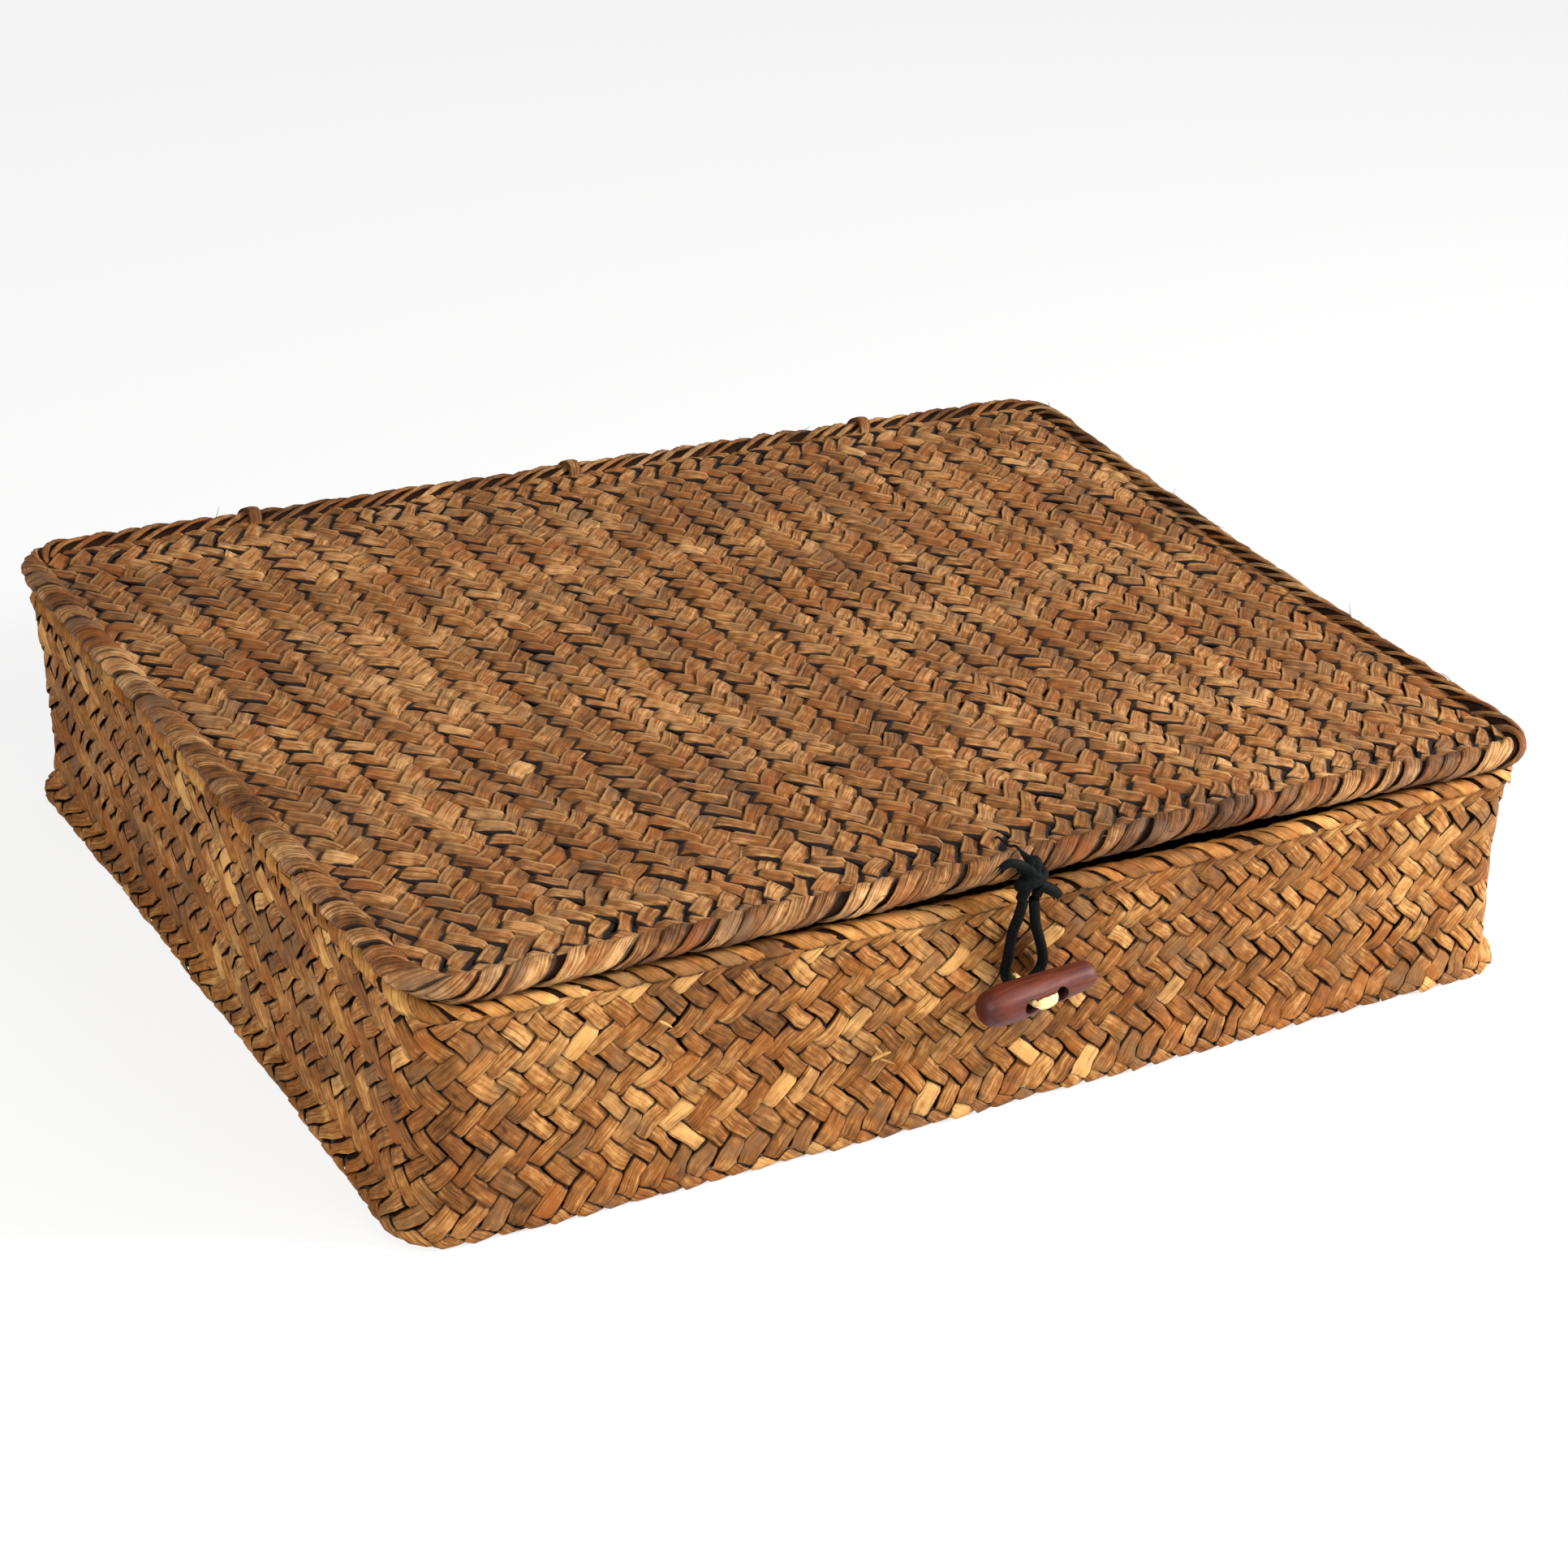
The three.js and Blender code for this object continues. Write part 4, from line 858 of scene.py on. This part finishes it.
# Hinge ties
# Three strips of the border's sedge, threaded under the lid's rear roll and the tray's and lapped over
# themselves below: the lid's roll turns in them.
tie_width, tie_thickness = 4.6 * mm, 0.75 * mm
tie_radius = roll_radius + clearance + tie_thickness + 0.12 * mm
tie_lap = 0.9
tie_spacing = 118 * mm
rim_roll_y = half_y - rim_inset
roll_lean = math.atan2(lid_roll_y - rim_roll_y, lid_roll_z - rim_height)
tie_turn = np.concatenate([np.linspace(1.45 * np.pi, 2 * np.pi - roll_lean, 9),
                           np.linspace(-roll_lean, np.pi - roll_lean, 22),
                           np.linspace(np.pi - roll_lean, 1.45 * np.pi + tie_lap, 16)])[:, None]
on_lid = np.repeat([False, True, False], [9, 22, 16])[:, None]
tie_share = np.linspace(0, 1, 47)[:, None]
tie_across = np.array([-1, -0.5, 0, 0.5, 1, 0.9, -0.9])
tie_reach = tie_radius + tie_thickness * smooth_step(tie_share * 6 - 5)
tie_reach = tie_reach + np.array([-0.2, 0, 0.1, 0, -0.2, -0.75, -0.75]) * mm
tie_y = np.where(on_lid, lid_roll_y, rim_roll_y) + tie_reach * np.cos(tie_turn)
tie_z = np.where(on_lid, lid_roll_z, rim_height) + tie_reach * np.sin(tie_turn)
for side, tie_place in (("left", -tie_spacing), ("middle", 0), ("right", tie_spacing)):
    tie_x = tie_place + tie_across * tie_width / 2 + 1.1 * mm * np.sin(tie_turn)
    tie_points = tray_shape(tie_x, tie_y, tie_z)[None]
    tie_shares = (0.7 * (2 * tie_share - 1), tie_across, tie_share * 40 * mm + tie_place,
                  tie_across * tie_width / 2)
    # edge sets how strong the painted crevice shade is along the tie's edges
    tie = strips_piece(f"hinge_strip_{side}", tie_points, tie_shares,
                       {"tone": 0.35, "tint": 0.5, "edge": 0.6, "tip": 0}, sedge_lid_border)
    finish_piece(tie, "tray", "sedge_border", f"hinge_tie_{side}")


# Toggle
# A peg turned from reddish hardwood, stained and waxed, fuller at its left end, with two countersunk holes.
toggle_length, toggle_diameter, toggle_tilt = 39.6 * mm, 12 * mm, math.radians(7)
hole_spacing, hole_radius, hole_rim = 11 * mm, 2.1 * mm, 2.5 * mm
toggle_shares = np.array([(-1, 0.02), (-0.97, 0.55), (-0.87, 0.84), (-0.7, 0.97), (-0.45, 1), (-0.15, 0.95),
                          (0.2, 0.87), (0.55, 0.79), (0.82, 0.72), (0.94, 0.58), (0.99, 0.35), (1, 0.02)])
toggle_middle = np.mean(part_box("toggle"), 0)
toggle_axis = np.array([math.cos(toggle_tilt), 0, math.sin(toggle_tilt)])
toggle_rise = np.array([-math.sin(toggle_tilt), 0, math.cos(toggle_tilt)])


def at_toggle(along, out, rise):
    """A point by its place along the peg, out from its axis towards the front, and up square to both."""
    along, out, rise = (np.asarray(value, float)[..., None] for value in (along, out, rise))
    return toggle_middle + along * toggle_axis + out * np.array([0, -1, 0]) + rise * toggle_rise


def turned_piece(name, stations, radius_out, radius_rise, centre_along, material, across=False):
    """A body of revolution as a closed mesh: rings at stations, each an ellipse of its two radii. Its axis is
    the peg's, or with across square to it, from back to front through a point along the peg."""
    turn = np.linspace(0, 2 * np.pi, 65)[:-1]
    ring_a, ring_b = radius_out[:, None] * np.cos(turn), radius_rise[:, None] * np.sin(turn)
    spread = np.broadcast_to(stations[:, None], ring_a.shape)
    points = at_toggle(centre_along - ring_a, spread, ring_b) if across else at_toggle(spread, ring_a, ring_b)
    faces = skin(np.arange(ring_a.size).reshape(1, *ring_a.shape))
    return new_piece(name, points.reshape(-1, 3), faces, material)


# Close-grained hardwood, turned smooth, stained red-brown and waxed: long fine grain along the peg, a dull
# purple cast on its lower side, darker at its left end, painted shade near black in and round the holes, and a
# soft satin gloss
hardwood, add = new_material("waxed_hardwood")
centred = add("VectorMath", [add("TexCoord").outputs["Object"], tuple(toggle_middle)],
              operation="SUBTRACT")
level = add("VectorRotate", {"Vector": centred, "Axis": (0, 1, 0), "Angle": toggle_tilt},
            rotation_type="AXIS_ANGLE")
grain_way = add("VectorMath", [level, (60, 900, 900)], operation="MULTIPLY")
grain = add("TexNoise", {"Vector": grain_way, "Scale": 1, "Detail": 4, "Roughness": 0.65, "Distortion": 0.4})
cloud = add("TexNoise", {"Vector": level, "Scale": 150, "Detail": 3})
parts = add("SeparateXYZ", [level]).outputs
colour = add("ValToRGB", [grain], stops=((0.3, "#3b1710"), (0.72, "#6d301e")))
low_side = add("MapRange", [parts[2], 1.5 * mm, -4 * mm, 0, 0.8], interpolation_type="SMOOTHSTEP")
cast = add("Math", [low_side, cloud], operation="MULTIPLY")
end = add("MapRange", [parts[0], -13 * mm, -21 * mm, 0, 0.75], interpolation_type="SMOOTHSTEP")
beside = add("Math", [add("Math", [parts[0]], operation="ABSOLUTE"), hole_spacing / 2],
             operation="SUBTRACT")
off_hole = add("VectorMath", [add("CombineXYZ", [beside, parts[2]])], operation="LENGTH")
# Painted shade: near black inside each hole and on its countersink
hole_shade = add("MapRange", [off_hole, hole_rim + 0.2 * mm, hole_radius, 0, 0.95])
for share, code in ((cast, "#6a4b50"), (end, "#35140f"), (hole_shade, "#0c0504")):
    colour = add("Mix", [share, colour, srgb(code)], data_type="RGBA")
bump = add("Bump", {"Height": add("Math", [grain, cloud]), "Strength": 0.25, "Distance": 0.15 * mm})
rough = add("MapRange", [cloud, 0.3, 0.7, 0.42, 0.6])
surface = add("BsdfPrincipled", {"Base Color": colour, "Roughness": rough, "Normal": bump, "IOR": 1.5,
                                 "Specular IOR Level": 0.25, "Coat Weight": 0.04, "Coat Roughness": 0.4})
add("OutputMaterial", [surface])

peg_along, peg_radius = through(toggle_shares * [toggle_length / 2, toggle_diameter / 2], 90).T
peg_radius = np.maximum(peg_radius, 0.05 * mm)
peg = turned_piece("toggle_peg", peg_along, peg_radius, peg_radius, 0, hardwood)
flare_out = np.array([-8, -6.7, -6.2, -5.7, -5.0, -4.0, 4.0, 5.0, 5.7, 6.2, 6.7, 8]) * mm
flare = smooth_step((np.abs(flare_out) - 4.2 * mm) / (3 * mm))
flare_radius = hole_radius + (hole_rim - hole_radius) * flare
for side in (-1, 1):
    drill = turned_piece("toggle_drill", flare_out, flare_radius, 1.15 * flare_radius,
                         side * hole_spacing / 2, hardwood, across=True)
    cut = peg.modifiers.new("hole", "BOOLEAN")
    cut.operation, cut.object, cut.solver = "DIFFERENCE", drill, "EXACT"
    bored = bpy.data.meshes.new_from_object(peg.evaluated_get(bpy.context.evaluated_depsgraph_get()))
    peg.modifiers.clear()
    peg.data = bored
    bpy.data.objects.remove(drill)
peg.data.polygons.foreach_set("use_smooth", np.full(len(peg.data.polygons), True))
peg.data.set_sharp_from_angle(angle=math.radians(50))
finish_piece(peg, "toggle", "toggle_wood", "toggle")


# Toggle's tie
# One flat strip of pale straw, out through the wall, round behind the peg, through its left hole, across
# its front and back through the right, with both ends knotted inside the tray. The straw is undyed rye:
# a pale golden, glossy skin with fine lines 0.4 mm apart along the strip.
straw, add = new_material("pale_straw")
way = add("VectorMath", [add("UVMap", uv_map="grain"), (1 / (9 * mm), 1 / (0.4 * mm), 1)],
          operation="MULTIPLY")
lines = add("TexNoise", {"Vector": way, "Scale": 1, "Detail": 3})
cloud = add("TexNoise", {"Vector": add("TexCoord").outputs["Object"], "Scale": 300})
colour = add("ValToRGB", [add("Math", [lines, cloud])], stops=((0.6, "#b98a45"), (1, "#f3d494")))
bump = add("Bump", {"Height": lines, "Strength": 0.4, "Distance": 0.15 * mm})
surface = add("BsdfPrincipled", {"Base Color": colour, "Roughness": 0.42, "Normal": bump, "IOR": 1.46})
add("OutputMaterial", [surface])

_, tie_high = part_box("toggle_tie")
inside_out = (toggle_middle[1] - tie_high.y) / mm
bar_out = (-toggle_diameter / 2 - clearance) / mm - 0.7
bridge_out = (0.91 * toggle_diameter / 2 + clearance) / mm + 0.3
half_path = np.array([
    (0.55, inside_out), (0.6, bar_out - 2), (1.6, bar_out), (3.6, bar_out), (4.7, bar_out + 0.9), (4.6, -4),
    (4.4, 0), (4.1, 3.4), (3.5, 5.0), (2.6, bridge_out - 0.15), (1.3, bridge_out),
])
straw_path = through(np.vstack([half_path * [-1, 1], [[0, bridge_out + 0.2]], half_path[::-1]]) * mm, 121)
straw_run = np.linspace(-1, 1, 121)[:, None]
straw_width = np.interp(np.abs(straw_run), [0, 0.1, 0.17, 0.24, 0.5, 1], [4.2, 4.1, 3.7, 3.0, 2.5, 2.3]) * mm
straw_across = np.array([-1, -0.6, 0, 0.6, 1, 0.85, -0.85])
straw_up = np.array([-0.1, 0.35, 0.5, 0.35, -0.1, -0.5, -0.5]) * mm
way = np.gradient(straw_path, axis=0)
way /= np.linalg.norm(way, axis=1, keepdims=True)
low_behind = 1.3 * mm * smooth_step((-straw_path[:, 1:] - 4.5 * mm) / (2 * mm))
straw_rise = straw_width / 2 * straw_across - low_behind
straw_points = at_toggle(straw_path[:, :1] - way[:, 1:] * straw_up, straw_path[:, 1:] + way[:, :1] * straw_up,
                         straw_rise)[None]
straw_shares = (straw_run, straw_across, straw_run * 50 * mm, straw_rise)
straw_tie = strips_piece("straw_tie", straw_points, straw_shares, {}, straw)
finish_piece(straw_tie, "toggle", "straw_tie", "toggle_tie")

straw_knot_middle = np.mean(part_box("tie_knot"), 0)
turn = np.linspace(0, 2 * np.pi, 41)
wide_turn = np.stack([2.1 * np.cos(turn), 0.35 * np.sin(2 * turn), 2.1 * np.sin(turn)], -1) * mm
cross_turn = np.stack([1.9 * np.cos(turn + 0.7), 0.35 * np.cos(2 * turn), 1.5 * np.sin(turn)], -1) * mm
straw_lines = [wide_turn + straw_knot_middle, cross_turn + straw_knot_middle + [0.4 * mm, 0.2 * mm, 0]]
straw_knot = tube_piece("straw_knot", straw_lines, [1.15 * mm, 1.1 * mm], 12, straw, (0.2, 1, 0.1), 0.8)
straw_knot.data.uv_layers["cord"].name = "grain"
finish_piece(straw_knot, "toggle", "straw_tie", "tie_knot")


# Loose ends
# Where a strip ran out, its splintered end stands off the front wall, and hairs of rind stray from the rolls.
# Each splinter is given by its place along and up the wall, its turn in degrees, its length and its width.
splinters = np.array([(-46.5, 27.5, 20, 6.5, 1.5), (-44.0, 25.0, -28, 5.0, 1.1), (-47.5, 30.0, -50, 4.0, 0.9),
                      (96.0, 40.0, 35, 4.5, 1.0), (-120.0, 58.0, -35, 4.5, 1.1)])[:, :, None, None]
splinter_share = np.linspace(-1, 1, 8)[:, None]
corner_across = np.array([-1, 0, 1, 0])
angle = np.radians(splinters[:, 2])
splinter_run = splinter_share / 2 * splinters[:, 3] * mm
splinter_side = corner_across * splinters[:, 4] / 2 * mm * (1 - 0.6 * np.abs(splinter_share) ** 3)
off_wall = np.array([0.7, 1.15, 0.7, 0.55]) * mm + 0.9 * mm * ((splinter_share + 1) / 2) ** 2
x = splinters[:, 0] * mm + splinter_run * np.cos(angle) - splinter_side * np.sin(angle)
z = splinters[:, 1] * mm + splinter_run * np.sin(angle) + splinter_side * np.cos(angle)
splinter_shares = (0.7 * splinter_share, 0.6 * corner_across, 2.8 * mm * splinter_share, corner_across * mm)
splinter_points = tray_shape(x, wall_inset(z) - half_y - off_wall, z)
splinter_piece = strips_piece("wall_splinters", splinter_points, splinter_shares, {"tone": 1.15, "tint": 0.5},
                              sedge_wall)
finish_piece(splinter_piece, "tray", "sedge_wall")

sedge_hair = plain_sedge("sedge_hair", "#8a6238")


def stray_hairs(body, name, count, inset, height, radius, seed, shape):
    """Hairs of rind 1.5 to 4 mm long: each leaves the roll at a random place, skewed and bent."""
    draw = np.random.default_rng(seed)
    lines = []
    share = np.linspace(0, 1, 6)
    for along in draw.uniform(0, outline_length, count):
        turn, length = draw.uniform(-0.3, 1.9), draw.uniform(1.5, 4.2) * mm
        skew = draw.normal(0, 1.2, 2)
        out = 0.9 * radius + length * share * 0.55
        x, y, _, _ = outline(along + length * skew[0] * share, inset - out * math.cos(turn))
        z = height + out * math.sin(turn) + 0.3 * length * skew[1] * share**2
        lines.append(shape(x, y, z))
    radii = [np.linspace(0.16, 0.06, 6) * mm] * count
    finish_piece(tube_piece(name, lines, radii, 5, sedge_hair, (0.3, 0.2, 1)), body, "sedge_border")


stray_hairs("lid", "lid_hairs", 40, roll_radius, lid_roll_z, roll_radius, seed=51, shape=lid_shape)
stray_hairs("tray", "rim_hairs", 30, rim_inset, rim_wrap_height, rim_wrap_radius, seed=53, shape=tray_shape)


# Floor and light
# A plain ground of matt white paper and soft studio light from the front right, with a pale fill all round.
# To the camera and in reflections paper and sky mostly glow white, so that only a faint shadow shows.
paper, add = new_material("white_ground")
path = add("LightPath").outputs
seen = add("Math", [path["Is Camera Ray"], path["Is Glossy Ray"]], operation="MAXIMUM")
share = add("Math", [seen, 0.8], operation="MULTIPLY")
matt = add("BsdfPrincipled", {"Base Color": srgb("#f4f4f2"), "Roughness": 0.9})
glow = add("Emission", {"Color": (1, 1, 1, 1), "Strength": 1.0})
add("OutputMaterial", [add("MixShader", [share, matt, glow])])

ground_half = 6.0
ground_points = np.array([(-1, -1, 0), (1, -1, 0), (1, 1, 0), (-1, 1, 0)]) * ground_half
ground = new_piece("ground", ground_points, [np.arange(4)[None]], paper, smooth=False)

world = bpy.data.worlds.new("studio")
world.use_nodes = True
world.node_tree.nodes.clear()
bpy.context.scene.world = world
add = partial(add_node, world.node_tree)
path = add("LightPath").outputs
seen = add("Math", [path["Is Camera Ray"], path["Is Glossy Ray"]], operation="MAXIMUM")
fill, backdrop = (add("Background", {"Color": (1, 1, 1, 1), "Strength": strength}) for strength in (0.2, 1.0))
add("OutputWorld", [add("MixShader", [seen, fill, backdrop])])

# Square soft boxes that look at the middle of the box
for name, place, size, power in (("key_light", (1.0, -0.65, 0.62), 0.25, 24),
                                 ("left_light", (-0.95, -0.62, 0.65), 0.2, 10.5),
                                 ("top_light", (0.3, -0.75, 0.8), 0.5, 5)):
    light = bpy.data.lights.new(name, "AREA")
    light.size, light.energy = size, power
    lamp = bpy.data.objects.new(name, light)
    lamp.location = place
    lamp.rotation_euler = (Vector((0, 0, 40 * mm)) - Vector(place)).to_track_quat("-Z", "Y").to_euler()
    bpy.context.scene.collection.objects.link(lamp)

bpy.context.scene.view_settings.view_transform = "Standard"
